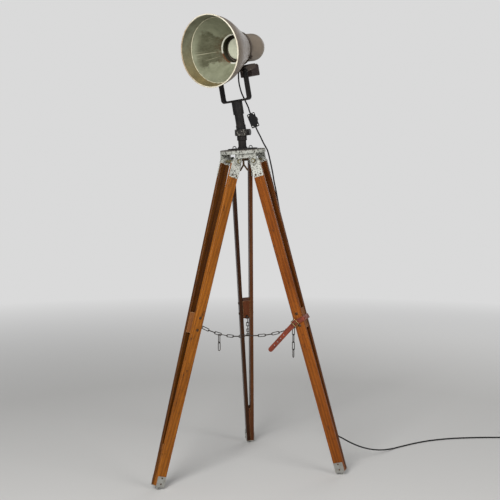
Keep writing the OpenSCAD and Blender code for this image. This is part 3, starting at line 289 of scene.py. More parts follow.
def group(name, build, outputs, **values):
    """A node group, made once, that turns a place and the values a material gives it into masks."""
    tree = bpy.data.node_groups.new(name, "ShaderNodeTree")
    tree.interface.new_socket("Vector", in_out="INPUT", socket_type="NodeSocketVector")
    for key, value in values.items():
        label = key.replace("_", " ")
        tree.interface.new_socket(label, in_out="INPUT", socket_type="NodeSocketFloat").default_value = value
    for label in outputs:
        tree.interface.new_socket(label, in_out="OUTPUT", socket_type="NodeSocketFloat")
    source, sink = tree.nodes.new("NodeGroupInput"), tree.nodes.new("NodeGroupOutput")
    for label, socket in build(tree, source.outputs).items():
        tree.links.new(socket, sink.inputs[label])
    return tree


def effect(tree, which, **inputs):
    """Places a group in a material with this material's own values."""
    named = {key.replace("_", " "): value for key, value in inputs.items()}
    return add(tree, "Group", named, node_tree=which).outputs


# ---------------------------------------------------------------- shared effects

def build_edge_wear(tree, given):
    """High where a rounded normal departs from the true one, which is along edges, broken up by noise."""
    bevel = add(tree, "Bevel", {"Radius": given["Width"]}, samples=6).outputs[0]
    flat = add(tree, "NewGeometry").outputs["Normal"]
    likeness = dot(tree, bevel, flat)
    edge = spread(tree, minus(tree, 1.0, likeness), 0.01, 0.16)
    noise = cloud(tree, given["Vector"], given["Scale"], 5, 0.65)
    broken = spread(tree, noise, given["Cover low"], given["Cover high"])
    return {"Mask": times(tree, edge, broken)}


EDGE_WEAR = group("edge_wear", build_edge_wear, ["Mask"], Width=0.0015, Scale=120.0,
                  Cover_low=0.35, Cover_high=0.55)


def build_chips(tree, given):
    """Islands where coarse noise and fine noise together pass a limit that falls as Cover rises."""
    coarse = cloud(tree, given["Vector"], given["Scale"], 6, 0.62, 0.4)
    fine = cloud(tree, given["Vector"], times(tree, given["Scale"], 5.3), 3, 0.6)
    both = plus(tree, times(tree, coarse, 0.75), times(tree, fine, 0.25))
    limit = minus(tree, 0.72, times(tree, given["Cover"], 0.42))
    high = plus(tree, limit, given["Softness"])
    return {"Mask": spread(tree, both, limit, high)}


CHIPS = group("chips", build_chips, ["Mask"], Scale=40.0, Cover=0.3, Softness=0.02)


def build_wood_figure(tree, given):
    """Growth lines: noise stretched along Z, banded by a sine of its own sum; pores: thin dashes along Z."""
    far = stretch(tree, given["Vector"], (1.0, 1.0, 0.045))
    bend = cloud(tree, far, 28, 3, 0.5)
    lines = add(tree, "TexWave", {"Vector": far, "Scale": 46.0, "Distortion": 7.0, "Detail": 3.0,
                                  "Detail Scale": 1.4, "Detail Roughness": 0.6},
                wave_type="BANDS", bands_direction="DIAGONAL").outputs["Fac"]
    fibre = cloud(tree, stretch(tree, given["Vector"], (1.0, 1.0, 0.022)), 620, 3, 0.6)
    dashes = cloud(tree, stretch(tree, given["Vector"], (1.0, 1.0, 0.05)), 950, 1, 0.5)
    pores = spread(tree, dashes, 0.60, 0.70)
    tone = plus(tree, times(tree, bend, 0.55), times(tree, lines, 0.28))
    tone = plus(tree, tone, times(tree, fibre, 0.30), clamp=True)
    return {"Tone": tone, "Fibre": fibre, "Pores": pores}


WOOD_FIGURE = group("wood_figure", build_wood_figure, ["Tone", "Fibre", "Pores"])


def build_scratches(tree, given):
    """Thin lines where two stretched noises, laid across each other, pass a high limit."""
    one = cloud(tree, stretch(tree, given["Vector"], (1.0, 0.06, 0.3)), given["Scale"], 2, 0.5, 0.6)
    two = cloud(tree, stretch(tree, given["Vector"], (0.08, 1.0, 0.5)), given["Scale"], 2, 0.5, 0.6)
    top = greater(tree, one, two)
    return {"Mask": spread(tree, top, 0.70, 0.76)}


SCRATCHES = group("scratches", build_scratches, ["Mask"], Scale=300.0)


def build_grime(tree, given):
    """Broad soft clouds with a finer mottle over them."""
    broad = cloud(tree, given["Vector"], given["Scale"], 5, 0.6, 0.3)
    mottle = cloud(tree, given["Vector"], times(tree, given["Scale"], 9.0), 4, 0.7)
    return {"Broad": spread(tree, broad, 0.36, 0.66), "Mottle": spread(tree, mottle, 0.3, 0.7)}


GRIME = group("grime", build_grime, ["Broad", "Mottle"], Scale=12.0)


def build_radial_runs(tree, given):
    """Streaks that run from the neck to the rim: noise on the direction round the axis, hardly on depth."""
    way = from_axis(tree, given["Vector"])
    depth = add(tree, "CombineXYZ", {2: times(tree, parts_of(tree, given["Vector"])[2], 7.0)}).outputs[0]
    spot = shifted(tree, way, depth)
    return {"Streaks": spread(tree, cloud(tree, spot, 3.4, 5, 0.6, 0.5), 0.42, 0.66),
            "Fine": spread(tree, cloud(tree, spot, 15, 4, 0.6, 0.3), 0.35, 0.7)}


RADIAL_RUNS = group("radial_runs", build_radial_runs, ["Streaks", "Fine"])


# ---------------------------------------------------------------- finishes

def finish(name, build, **sockets):
    """A Principled material with constants on its sockets. The build function returns the colour, the
    roughness, a height, that height's depth in metres and, where metal lies bare, how metallic it is."""
    material = bpy.data.materials.new(name)
    material.use_nodes = True
    tree = material.node_tree
    shader = tree.nodes["Principled BSDF"]
    for key, value in sockets.items():
        shader.inputs[key.replace("_", " ")].default_value = value
    colour, rough, height, depth, *metallic = build(tree)
    bump = add(tree, "Bump", {"Height": height, "Distance": depth, "Strength": 1.0}).outputs[0]
    into = ("Base Color", "Roughness", "Normal", "Metallic")
    for key, socket in zip(into, (colour, rough, bump, *metallic)):
        tree.links.new(socket, shader.inputs[key])
    return material


def varnished_wood(name, axes, light, dark, edge_tone, seed, shaded_side=0):
    """Varnished hardwood with its grain along the leg: lines, pores, darker clouds, and rubbed edges.
    The rail on the shaded side of the leg's own middle is darkened nearly to black with painted shade."""
    def build(tree):
        on_leg = along_axes(tree, axes)
        spot = shifted(tree, on_leg, seed)
        across = times(tree, parts_of(tree, on_leg)[1], shaded_side)
        figure = effect(tree, WOOD_FIGURE, Vector=spot)
        grime = effect(tree, GRIME, Vector=stretch(tree, spot, (1.0, 1.0, 0.22)), Scale=16.0)
        knocks = effect(tree, CHIPS, Vector=stretch(tree, spot, (1.0, 1.0, 0.35)), Scale=55.0, Cover=0.30,
                        Softness=0.03)
        worn = effect(tree, EDGE_WEAR, Vector=stretch(tree, spot, (1, 1, 0.3)), Width=0.0022,
                      Scale=70.0)["Mask"]
        colour = mix(tree, figure["Tone"], dark, light)
        colour = over(tree, colour, (0.045, 0.014, 0.004), figure["Pores"], 0.55)
        colour = over(tree, colour, tinted(tree, colour, 0.50, 0.36, 0.26), grime["Broad"], 0.55)
        # painted shade: the rail on the leg's shaded side is multiplied nearly to black
        colour = mix(tree, spread(tree, across, 0.0, 0.002, 0.0, 0.85), colour,
                     tinted(tree, colour, 0.30, 0.30, 0.32))
        colour = over(tree, colour, (0.05, 0.02, 0.008), knocks["Mask"], 0.7)
        colour = over(tree, colour, edge_tone, worn, 0.75)
        rough = plus(tree, 0.27, times(tree, grime["Mottle"], 0.16))
        rough = plus(tree, rough, times(tree, knocks["Mask"], 0.25), clamp=True)
        pits = plus(tree, times(tree, figure["Pores"], 0.5), times(tree, knocks["Mask"], 0.6))
        height = minus(tree, times(tree, figure["Fibre"], 0.35), pits)
        return colour, rough, height, 0.00025
    return finish(name, build, Coat_Weight=0.03, Coat_Roughness=0.2, Specular_IOR_Level=0.13)


def head_tones(tree, colour):
    """The plate's top and upper edge are rubbed to dark brown; height is taken along the head's axis."""
    spot = along_axes(tree, POST)
    height = parts_of(tree, spot)[2]
    ragged = times(tree, minus(tree, cloud(tree, spot, 90, 5, 0.7), 0.5), 0.012)
    top = spread(tree, plus(tree, height, ragged), -0.0035, -0.0015)
    return over(tree, colour, (0.085, 0.068, 0.055), top, 0.85)


def chipped_casting(name, paint, metal, cover, scale, by_place=None):
    """Sand-cast metal under old paint: chips and rubbed edges down to dark metal, grime in clouds."""
    def build(tree):
        spot = object_place(tree)
        chips = effect(tree, CHIPS, Vector=spot, Scale=scale, Cover=cover, Softness=0.03)
        grime = effect(tree, GRIME, Vector=spot, Scale=38.0)
        worn = effect(tree, EDGE_WEAR, Vector=spot, Width=0.0016, Scale=170.0,
                      Cover_low=0.40, Cover_high=0.52)["Mask"]
        colour = over(tree, paint, tinted(tree, paint, 0.62, 0.62, 0.56), grime["Mottle"], 0.5)
        colour = over(tree, colour, (0.13, 0.10, 0.06), grime["Broad"], 0.30)
        if by_place:
            colour = by_place(tree, colour)
        bare = greater(tree, chips["Mask"], worn)
        colour = over(tree, colour, metal, bare, 0.92)
        rough = plus(tree, 0.52, times(tree, grime["Mottle"], 0.2))
        grit = cloud(tree, spot, 900, 3, 0.7)
        height = minus(tree, times(tree, grit, 0.5), bare)
        metallic = times(tree, bare, 0.4)
        return colour, rough, height, 0.00035, metallic
    return finish(name, build, Specular_IOR_Level=0.35)


def worn_black(name, paint=(0.010, 0.0095, 0.0095), cover=0.16, bare=(0.11, 0.098, 0.085)):
    """Black paint on steel, rubbed to grey metal at edges, scratched and thumbed to different gloss."""
    def build(tree):
        spot = object_place(tree)
        chips = effect(tree, CHIPS, Vector=spot, Scale=95.0, Cover=cover, Softness=0.02)
        grime = effect(tree, GRIME, Vector=spot, Scale=30.0)
        marks = effect(tree, SCRATCHES, Vector=spot, Scale=420.0)["Mask"]
        worn = effect(tree, EDGE_WEAR, Vector=spot, Width=0.0013, Scale=190.0,
                      Cover_low=0.42, Cover_high=0.56)["Mask"]
        off = greater(tree, chips["Mask"], worn)
        colour = mix(tree, grime["Broad"], paint, tinted(tree, paint, 2.1, 1.9, 1.7))
        colour = over(tree, colour, (0.12, 0.11, 0.10), marks, 0.35)
        colour = over(tree, colour, bare, off, 0.85)
        rough = plus(tree, 0.36, times(tree, grime["Mottle"], 0.22))
        height = minus(tree, times(tree, cloud(tree, spot, 700, 2, 0.6), 0.25), off)
        metallic = times(tree, off, 0.5)
        return colour, rough, height, 0.0002, metallic
    return finish(name, build, Specular_IOR_Level=0.10)


def aged_steel(name, tone, rust, cover, rough=0.38, metal=0.95):
    """Bare steel dulled by age, with rust in islands and dark grime between them."""
    def build(tree):
        spot = object_place(tree)
        islands = effect(tree, CHIPS, Vector=spot, Scale=130.0, Cover=cover, Softness=0.10)
        grime = effect(tree, GRIME, Vector=spot, Scale=60.0)
        colour = over(tree, tone, tinted(tree, tone, 0.45, 0.42, 0.38), grime["Broad"], 0.5)
        colour = mix(tree, islands["Mask"], colour, rust)
        dull = plus(tree, rough, times(tree, islands["Mask"], 0.4), clamp=True)
        grit = cloud(tree, spot, 1300, 3, 0.7)
        height = plus(tree, times(tree, grit, 0.4), islands["Mask"])
        metallic = minus(tree, metal, times(tree, islands["Mask"], 0.85), clamp=True)
        return colour, dull, height, 0.00015, metallic
    return finish(name, build)


def lamp_enamel(name, tone, dark, chip_and_edge_highlight, cover, runs, wear=0.8, by_place=None):
    """Old lamp enamel: runs along the bowl, mottled fading, fine scratches and chips at the edges, whose pale
    tone on the box also paints highlights along its edges.
    by_place changes the colour by where a point lies on the lamp's own axes."""
    def build(tree):
        spot = along_axes(tree, LAMP)
        chips = effect(tree, CHIPS, Vector=spot, Scale=85.0, Cover=cover, Softness=0.02)
        grime = effect(tree, GRIME, Vector=spot, Scale=14.0)
        streak = effect(tree, RADIAL_RUNS, Vector=spot)
        marks = effect(tree, SCRATCHES, Vector=spot, Scale=260.0)["Mask"]
        worn = effect(tree, EDGE_WEAR, Vector=spot, Width=0.0014, Scale=150.0)["Mask"]
        colour = over(tree, tone, dark, grime["Broad"], 0.5)
        if by_place:
            colour = by_place(tree, spot, colour)
        colour = over(tree, colour, tinted(tree, colour, 0.55, 0.55, 0.50), streak["Streaks"], runs)
        colour = over(tree, colour, dark, streak["Fine"], 0.18)
        colour = over(tree, colour, tinted(tree, colour, 1.3, 1.28, 1.22), grime["Mottle"], 0.18)
        off = greater(tree, chips["Mask"], times(tree, worn, wear))
        colour = over(tree, colour, (0.45, 0.43, 0.38), marks, 0.25)
        # chips and worn edges take the chip tone, which on the terminal box is also a painted highlight along
        # its edges
        colour = over(tree, colour, chip_and_edge_highlight, off, 0.85)
        rough = plus(tree, 0.34, times(tree, grime["Mottle"], 0.2))
        height = minus(tree, times(tree, cloud(tree, spot, 240, 3, 0.6), 0.3), off)
        return colour, rough, height, 0.00018
    return finish(name, build, Specular_IOR_Level=0.28)


def moulded(name, tone, rough, grain=900.0, specular=0.5):
    """Moulded plastic or rubber: a fine skin, thumbed gloss and a little dust in clouds."""
    def build(tree):
        spot = object_place(tree)
        grime = effect(tree, GRIME, Vector=spot, Scale=45.0)
        colour = over(tree, tone, tinted(tree, tone, 1.7, 1.6, 1.5), grime["Broad"], 0.6)
        gloss = plus(tree, rough, times(tree, grime["Mottle"], 0.18))
        height = cloud(tree, spot, grain, 2, 0.6)
        return colour, gloss, height, 0.00006
    return finish(name, build, Specular_IOR_Level=specular)


def bowl_inside(tree, spot, colour):
    """The shell's inner wall has the bowl's own sage enamel: there the normal points towards the axis."""
    normal = add(tree, "TexCoord").outputs["Normal"]
    turned = add(tree, "Mapping", {"Vector": normal, "Rotation": Matrix(LAMP[1].tolist()).to_euler("XYZ")},
                 vector_type="VECTOR").outputs[0]
    radial = stretch(tree, spot, (1.0, 1.0, 0.0))
    outward = dot(tree, radial, turned)
    inner = spread(tree, outward, -0.03, -0.01, 1.0, 0.0)
    stain = spread(tree, cloud(tree, spot, 22, 5, 0.65), 0.35, 0.65)
    low = spread(tree, parts_of(tree, spot)[1], -0.09, 0.05)
    sage = mix(tree, low, (0.26, 0.20, 0.085), (0.225, 0.235, 0.165))
    sage = over(tree, sage, (0.10, 0.085, 0.042), stain, 0.55)
    return mix(tree, inner, colour, sage)


def shell_outside(tree, spot, colour):
    """Dirt gathers on the cone near the clamp band, and the cone is paler towards the rim."""
    depth = depth_of(tree, spot)
    patches = spread(tree, cloud(tree, spot, 45, 4, 0.6), 0.35, 0.6)
    near = times(tree, spread(tree, depth, 0.135, 0.172), patches)
    colour = over(tree, colour, (0.075, 0.055, 0.042), near, 0.6)
    return bowl_inside(tree, spot, colour)


def liner_stains(tree, spot, colour):
    """Smoke fans out from the neck on the upper left, brown gathers at the neck, the front lip is cream."""
    depth = depth_of(tree, spot)
    way = from_axis(tree, spot)
    facing = dot(tree, way, (-0.985, 0.17, 0.0))
    ragged = times(tree, minus(tree, cloud(tree, spot, 26, 5, 0.65), 0.5), 0.5)
    fan = spread(tree, plus(tree, facing, ragged), 0.74, 0.83)
    reach = spread(tree, plus(tree, depth, times(tree, ragged, 0.06)), 0.050, 0.075)
    fan = times(tree, fan, reach)
    smoke = spread(tree, cloud(tree, stretch(tree, spot, (1.0, 1.0, 0.5)), 34, 6, 0.7), 0.32, 0.62)
    colour = over(tree, colour, (0.070, 0.066, 0.036), fan, spread(tree, smoke, 0.0, 1.0, 0.60, 0.96))
    along_ray = add(tree, "CombineXYZ", {2: times(tree, depth, 2.6)}).outputs[0]
    ray_spot = shifted(tree, stretch(tree, way, (1.0, 8.5, 0.0)), along_ray)
    ray = times(tree, spread(tree, cloud(tree, ray_spot, 2.6, 2, 0.5), 0.61, 0.66), fan)
    colour = over(tree, colour, (0.44, 0.42, 0.30), ray, 0.75)
    neck = times(tree, spread(tree, plus(tree, depth, times(tree, ragged, 0.05)), 0.116, 0.140),
                spread(tree, facing, 0.1, 0.75))
    neck = times(tree, neck, spread(tree, cloud(tree, spot, 70, 5, 0.7), 0.38, 0.58))
    colour = over(tree, colour, (0.075, 0.043, 0.018), neck, 0.9)
    lip = spread(tree, depth, 0.0420, 0.0436, 1.0, 0.0)
    return over(tree, colour, (0.62, 0.58, 0.42), lip, spread(tree, cloud(tree, spot, 60, 4), 0.34, 0.46))


def rim_tones(tree, spot, colour):
    """The rim is cream on the right and rubbed to brown on the left."""
    side = times(tree, parts_of(tree, spot)[0], 7.0)
    ragged = times(tree, cloud(tree, spot, 55, 5, 0.7), 2.2)
    brown = spread(tree, plus(tree, side, ragged), 0.2, 0.9, 1.0, 0.0)
    return over(tree, colour, (0.26, 0.16, 0.065), brown, 0.8)


def bulb_glass():
    """Frosted reflector bulb: pale greenish glass, faint streaks of wear."""
    def build(tree):
        spot = along_axes(tree, LAMP)
        grime = effect(tree, GRIME, Vector=spot, Scale=30.0)
        colour = over(tree, (0.58, 0.59, 0.46), (0.46, 0.47, 0.36), grime["Broad"], 0.5)
        rough = plus(tree, 0.16, times(tree, grime["Mottle"], 0.14))
        height = cloud(tree, spot, 1500, 2, 0.5)
        return colour, rough, height, 0.00003
    return finish("bulb_frosted_glass", build, Coat_Weight=0.6, Coat_Roughness=0.08)


def hinge_bars():
    """Olive bars between the ears; their round ends, whose normals lie along a hinge, are painted grey."""
    def build(tree):
        spot = object_place(tree)
        normal = add(tree, "TexCoord").outputs["Normal"]
        ends = [calc(tree, "ABSOLUTE", dot(tree, normal, tuple(axes[1][1]))) for axes in LEGS.values()]
        end = spread(tree, greater(tree, ends[0], greater(tree, ends[1], ends[2])), 0.90, 0.97)
        chips = effect(tree, CHIPS, Vector=spot, Scale=160.0, Cover=0.45, Softness=0.03)
        grime = effect(tree, GRIME, Vector=spot, Scale=50.0)
        bar = mix(tree, grime["Broad"], (0.17, 0.145, 0.062), (0.085, 0.065, 0.03))
        paint = mix(tree, grime["Broad"], (0.40, 0.41, 0.37), (0.24, 0.24, 0.20))
        colour = mix(tree, end, bar, paint)
        colour = over(tree, colour, (0.045, 0.035, 0.028), chips["Mask"], 0.85)
        rough = spread(tree, grime["Mottle"], 0, 1, 0.45, 0.7)
        height = minus(tree, 0.0, chips["Mask"])
        return colour, rough, height, 0.0003
    return finish("hinge_bar_paint", build, Specular_IOR_Level=0.35)


def neck_enamel():
    """White enamel ring, chipped, with a rust stain on its lower left that runs outwards; the sleeve behind
    its front lip is painted dark olive as painted shade.
    """
    def build(tree):
        spot = along_axes(tree, LAMP)
        chips = effect(tree, CHIPS, Vector=spot, Scale=120.0, Cover=0.30, Softness=0.05)
        grime = effect(tree, GRIME, Vector=spot, Scale=40.0)
        stain_middle = (-0.046, -0.034, -0.146)
        where = add(tree, "VectorMath", {0: spot, 1: stain_middle}, operation="DISTANCE").outputs["Value"]
        near = minus(tree, spread(tree, where, 0.012, 0.040, 1.0, 0.0),
                    times(tree, cloud(tree, spot, 150, 4, 0.6), 0.55))
        rust = spread(tree, near, 0.08, 0.22)
        colour = over(tree, (0.68, 0.68, 0.60), (0.45, 0.40, 0.28), grime["Broad"], 0.35)
        colour = mix(tree, chips["Mask"], colour, (0.20, 0.12, 0.06))
        colour = mix(tree, rust, colour, (0.12, 0.048, 0.016))
        depth = depth_of(tree, spot)
        # painted shade: the sleeve behind the front lip is painted dark olive
        colour = mix(tree, spread(tree, depth, 0.1462, 0.1475), colour, (0.036, 0.033, 0.018))
        rough = spread(tree, greater(tree, chips["Mask"], rust), 0, 1, 0.28, 0.8)
        height = minus(tree, 0.0, chips["Mask"])
        return colour, rough, height, 0.0003
    return finish("neck_enamel", build)


def lead_rubber():
    """Black flexible lead: fine extrusion lines along it and dull dusty patches."""
    def build(tree):
        along = add(tree, "UVMap", uv_map="along").outputs[0]
        lines = cloud(tree, stretch(tree, along, (3.0, 26.0, 0.0)), 6.0, 2, 0.6)
        dust = cloud(tree, object_place(tree), 24, 5, 0.7)
        colour = mix(tree, spread(tree, dust, 0.45, 0.75), (0.007, 0.007, 0.0075), (0.026, 0.025, 0.023))
        rough = spread(tree, dust, 0.3, 0.7, 0.36, 0.6)
        return colour, rough, lines, 0.00005
    return finish("lead_rubber", build, Specular_IOR_Level=0.1)


def strap_leather():
    """Red-brown harness leather: grain, oiled clouds, a creased line near each edge, cross wrinkles."""
    def build(tree):
        along = add(tree, "UVMap", uv_map="along").outputs[0]
        spot = object_place(tree)
        cells = add(tree, "TexVoronoi", {"Vector": spot, "Scale": 850.0}, feature="DISTANCE_TO_EDGE").outputs
        pebbles = spread(tree, cells["Distance"], 0.0, 0.18)
        wrinkle = cloud(tree, stretch(tree, along, (1.0, 0.12, 0.0)), 240, 4, 0.65, 0.5)
        oil = cloud(tree, spot, 45, 5, 0.65)
        off_middle = calc(tree, "ABSOLUTE", minus(tree, parts_of(tree, along)[1], 0.5))
        off_crease = calc(tree, "ABSOLUTE", minus(tree, off_middle, 0.39))
        crease = minus(tree, 1.0, spread(tree, off_crease, 0.0, 0.028))
        rubbed = spread(tree, off_middle, 0.42, 0.5)
        colour = mix(tree, spread(tree, oil, 0.35, 0.68), (0.215, 0.040, 0.017), (0.080, 0.015, 0.008))
        colour = over(tree, colour, (0.05, 0.012, 0.007), spread(tree, wrinkle, 0.58, 0.74), 0.6)
        colour = over(tree, colour, (0.30, 0.10, 0.05), rubbed, 0.45)
        colour = over(tree, colour, (0.045, 0.010, 0.006), crease, 0.6)
        height = plus(tree, times(tree, pebbles, 0.35), times(tree, wrinkle, 0.5))
        height = minus(tree, height, times(tree, crease, 0.9))
        rough = spread(tree, oil, 0.3, 0.7, 0.34, 0.56)
        return colour, rough, height, 0.0003
    return finish("strap_leather", build, Coat_Weight=0.08, Coat_Roughness=0.3, Specular_IOR_Level=0.25)


def dress(material, *names):
    """Puts a finish on CAD nodes, whose shapes are kept."""
    for name in names:
        mesh = NODES[name].data
        mesh.materials.clear()
        mesh.materials.append(material)


# ---------------------------------------------------------------- the lead

LEAD_RADIUS = 0.0028
# Places on the lead's way, in source millimetres: the box's gland, the hole in the yoke, the dimmer's two
# ends, where the lead meets the leg, the last clip, and where it meets the floor
GLAND = [-2.02811, 42.0143, 1555.45]
YOKE_PASS = [6, 16, 1443]
DIMMER_TOP, DIMMER_FOOT = [29.511, 12, 1386.96], [50.489, 12, 1335.04]
ON_LEG = [144.886, 1.43588, 999.657]
LAST_CLIP = [351.116, -50.2238, 191.957]
FLOOR_MEET = [630, 272, 3]
DROP = [GLAND, [-5.58328, 37.2408, 1554.7], [-12, 28, 1550], [-16, 21, 1541], [-16, 19, 1528],
        [-15, 19, 1510], [-10, 18, 1484], [-2.551, 16.95, 1461.053], YOKE_PASS]
LINK = [YOKE_PASS, [10.703, 15.477, 1433.07], [22, 13, 1409], [25.7649, 12, 1396.23], DIMMER_TOP]
LEG_RUN = [DIMMER_FOOT, [54.2351, 12, 1325.77], [67, 12, 1301], [82, 10, 1270], [95, 8, 1247], [103, 7, 1217],
           [110, 7, 1186], [116, 7, 1156], [121, 6, 1125], [127, 5, 1098], [132, 5, 1071], ON_LEG,
           [160.158, -1.85969, 926.175], [225.486, -18.4053, 674.995],
           [239.298, -18.4309, 626.886], [249.348, -20.9764, 588.243], [260.662, -27.3145, 539.744],
           [341.066, -47.6783, 230.6], LAST_CLIP]
TO_FLOOR = [[368, -38, 143], [390, -12, 124], [421, 26, 98], [470, 85, 63], [530, 155, 31], [584, 218, 12],
            FLOOR_MEET]
FLOOR_RUN = [FLOOR_MEET, [672, 307, 3], [717, 342, 3], [801, 394, 3], [880, 423, 3], [982, 441, 3],
             [1116, 446, 3], [1190, 446, 3], [1209.4, 446.8, 3]]
COIL_MIDDLE = np.array([1215.0, 484.0, 3.0])


def coil_route():
    """Two turns wound in, a climb of half a turn with a slight tuck, and two turns wound out on top.
    Each is a radius, an angle and a height that change evenly with the angle turned."""
    pitch, outer, turns, tuck = 6.2, 37.2, 2, 1.5
    inner = outer - turns * pitch
    wound = np.arange(0, 360 * turns, 15.0)
    climb = np.arange(0, 180, 15.0)
    out = np.arange(0, 360 * turns + 1, 15.0)
    radius = np.concatenate([outer - pitch * wound / 360, inner - tuck * np.sin(np.radians(climb)),
                             inner + pitch * out / 360])
    angle = np.radians(np.concatenate([wound - 90, climb + 360 * turns - 90, out + 360 * turns + 90]))
    height = np.concatenate([wound * 0, pitch * (1 - np.cos(np.radians(climb))) / 2, out * 0 + pitch])
    turned = COIL_MIDDLE + np.stack([radius * np.cos(angle), radius * np.sin(angle), height], 1)
    return np.vstack([turned, turned[-1:] - [5.6, 0, 0]])


LEAD_RUBBER = lead_rubber()


def lead_stretch(name, route, nodes):
    """One stretch of the lead on its own route, in place of its solid."""
    line = place(*route)
    made = tube(name, line, LEAD_RADIUS)
    made.data.materials.append(LEAD_RUBBER)
    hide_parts(*nodes)
    return made


def whole_lead():
    """Lamp to dimmer to plug, in stretches that each run between the two bodies they join; the stretch on the
    floor is attached to the stand.
    """
    drop = lead_stretch("lead_at_lamp", smooth_route(DROP), ["cord_drop"])
    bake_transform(drop)
    link = lead_stretch("lead_to_dimmer", smooth_route(LINK), ["cord_link"])
    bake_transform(link)
    down = smooth_route(LEG_RUN + TO_FLOOR)
    clip = int(np.argmin(np.linalg.norm(down - np.array(LAST_CLIP), axis=1)))
    leg = lead_stretch("lead_down_leg", down[:clip + 1], ["cord_leg"])
    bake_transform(leg)
    to_floor = lead_stretch("lead_off_leg", down[clip:], ["cord_leg"])
    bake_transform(to_floor)
    floor = lead_stretch("lead_on_floor", np.vstack([smooth_route(FLOOR_RUN)[:-1], coil_route()]),
                         ["cord_floor", "cord_coil"])
    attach(floor, "stand")


# ---------------------------------------------------------------- the strap

STRAP_WIDTH, STRAP_THICK = 19.0, 3.0
STRAP_STATION, STRAP_SLOPE = 634, 15
TAIL_LENGTH, TAIL_TURN = 158, 72
TAIL_TIP = TAIL_LENGTH - STRAP_WIDTH / 2
TAIL_HOLES, HOLE_RADIUS = (68.0, 87.0, 106.0, 125.0), 2.0
# The buckle's place from the middle of the band, and half the band's outer size and its corner
BUCKLE_SIDE, BUCKLE_HINGE = -14.771, -35.1749
BAND_HALF_SIDE, BAND_HALF_HINGE, BAND_CORNER = 26.771, 31.8749, 3.6


def strap_axes():
    """The band's axes are the right leg's, sloped about the hinge; the tail's axes turn on from there."""
    origin, (side, hinge, up) = LEGS["right"]
    centre = origin * 1000 + STANCE_MIDDLE - STRAP_STATION * up
    side, up = turned_about(side, up, STRAP_SLOPE)
    buckle = centre + BUCKLE_SIDE * side + BUCKLE_HINGE * hinge
    up_tail, side_tail = turned_about(up, side, TAIL_TURN)
    return centre, side, hinge, up, buckle, side_tail, up_tail


def band_section(width, thick, crown=0.35, around=28):
    """Closed outline of the leather: a superellipse that is nearly a rectangle, a little crowned."""
    angle = np.arange(around) * 2 * pi / around
    c, s = np.cos(angle), np.sin(angle)
    across = np.sign(c) * np.abs(c) ** 0.22 * width / 2
    through = np.sign(s) * np.abs(s) ** 0.45 * (thick / 2 - crown * (2 * across / width) ** 2 * 0.5)
    return across, through


def strap_band():
    """The leather's section carried round a rounded rectangle that clears the rails."""
    centre, side, hinge, up, *_ = strap_axes()
    half_x, half_y = BAND_HALF_SIDE - STRAP_THICK / 2, BAND_HALF_HINGE - STRAP_THICK / 2
    path, normals = [], []
    for quarter, (cx, cy) in enumerate(((1, 1), (-1, 1), (-1, -1), (1, -1))):
        angle = np.radians(quarter * 90 + np.linspace(0, 90, 9))
        ring = np.stack([np.cos(angle), np.sin(angle)], 1)
        path.append(np.array([cx * (half_x - BAND_CORNER), cy * (half_y - BAND_CORNER)]) + BAND_CORNER * ring)
        normals.append(ring)
    path, normals = np.vstack(path), np.vstack(normals)
    across, through = band_section(STRAP_WIDTH, STRAP_THICK)
    flat = path[:, None] + normals[:, None] * through[None, :, None]
    points = centre + flat[..., :1] * side + flat[..., 1:] * hinge + across[None, :, None] * up
    faces = grid_faces(len(path), len(across), True, True)
    far = np.concatenate([[0], np.cumsum(steps_of(np.vstack([path, path[:1]])))])
    row, column = faces[:, 0] // len(across), faces[:, 0] % len(across)
    v = across / STRAP_WIDTH + 0.5
    here, beyond = v[column], v[(column + 1) % len(across)]
    around = np.stack([here, here, beyond, beyond], -1)
    uv = np.stack([np.stack([far[row], far[row + 1], far[row + 1], far[row]], -1) / 1000, around], -1)
    return piece("strap_band", place(*points.reshape(-1, 3)), faces, uv.reshape(-1, 2))


def tail_patches():
    """Flat quads of the tail: plain lengths as a grid, each hole as rings that pass from a circle to a
    rectangle, and the tip as rings that pass from a point to a half circle."""
    half, cells = STRAP_WIDTH / 2, 8
    patches = []

    def plain(start, end):
        rows = np.linspace(start, end, max(2, int((end - start) / 5) + 1))
        columns = np.linspace(-half, half, cells + 1)
        grid = np.stack(np.meshgrid(rows, columns, indexing="ij")[::-1], -1)
        patches.append((grid, False))

    for hole in TAIL_HOLES:
        steps = np.linspace(-1, 1, cells + 1)[:-1]
        box_x = np.concatenate([steps * half, np.full(cells, half), -steps * half, np.full(cells, -half)])
        box_z = np.concatenate([np.full(cells, -half), steps * half, np.full(cells, half), -steps * half])
        angle = np.arctan2(box_z, box_x)
        edge = np.stack([box_x, box_z], 1)
        ring = HOLE_RADIUS * np.stack([np.cos(angle), np.sin(angle)], 1)
        share = np.array([0, 0.12, 0.35, 0.65, 1.0])[:, None, None]
        grid = ring * (1 - share) + edge * share + np.array([0, hole])
        patches.append((grid, True))
    plain(-half, TAIL_HOLES[0] - half)
    plain(TAIL_HOLES[-1] + half, TAIL_TIP)
    angle = np.radians(np.linspace(0, 180, 17))
    rim = np.stack([half * np.cos(angle), TAIL_TIP + half * np.sin(angle)], 1)
    base = np.stack([np.linspace(half, -half, 17), np.full(17, TAIL_TIP)], 1)
    share = np.linspace(0, 1, 7)[:, None, None]
    patches.append((base * (1 - share) + rim * share, False))
    return patches


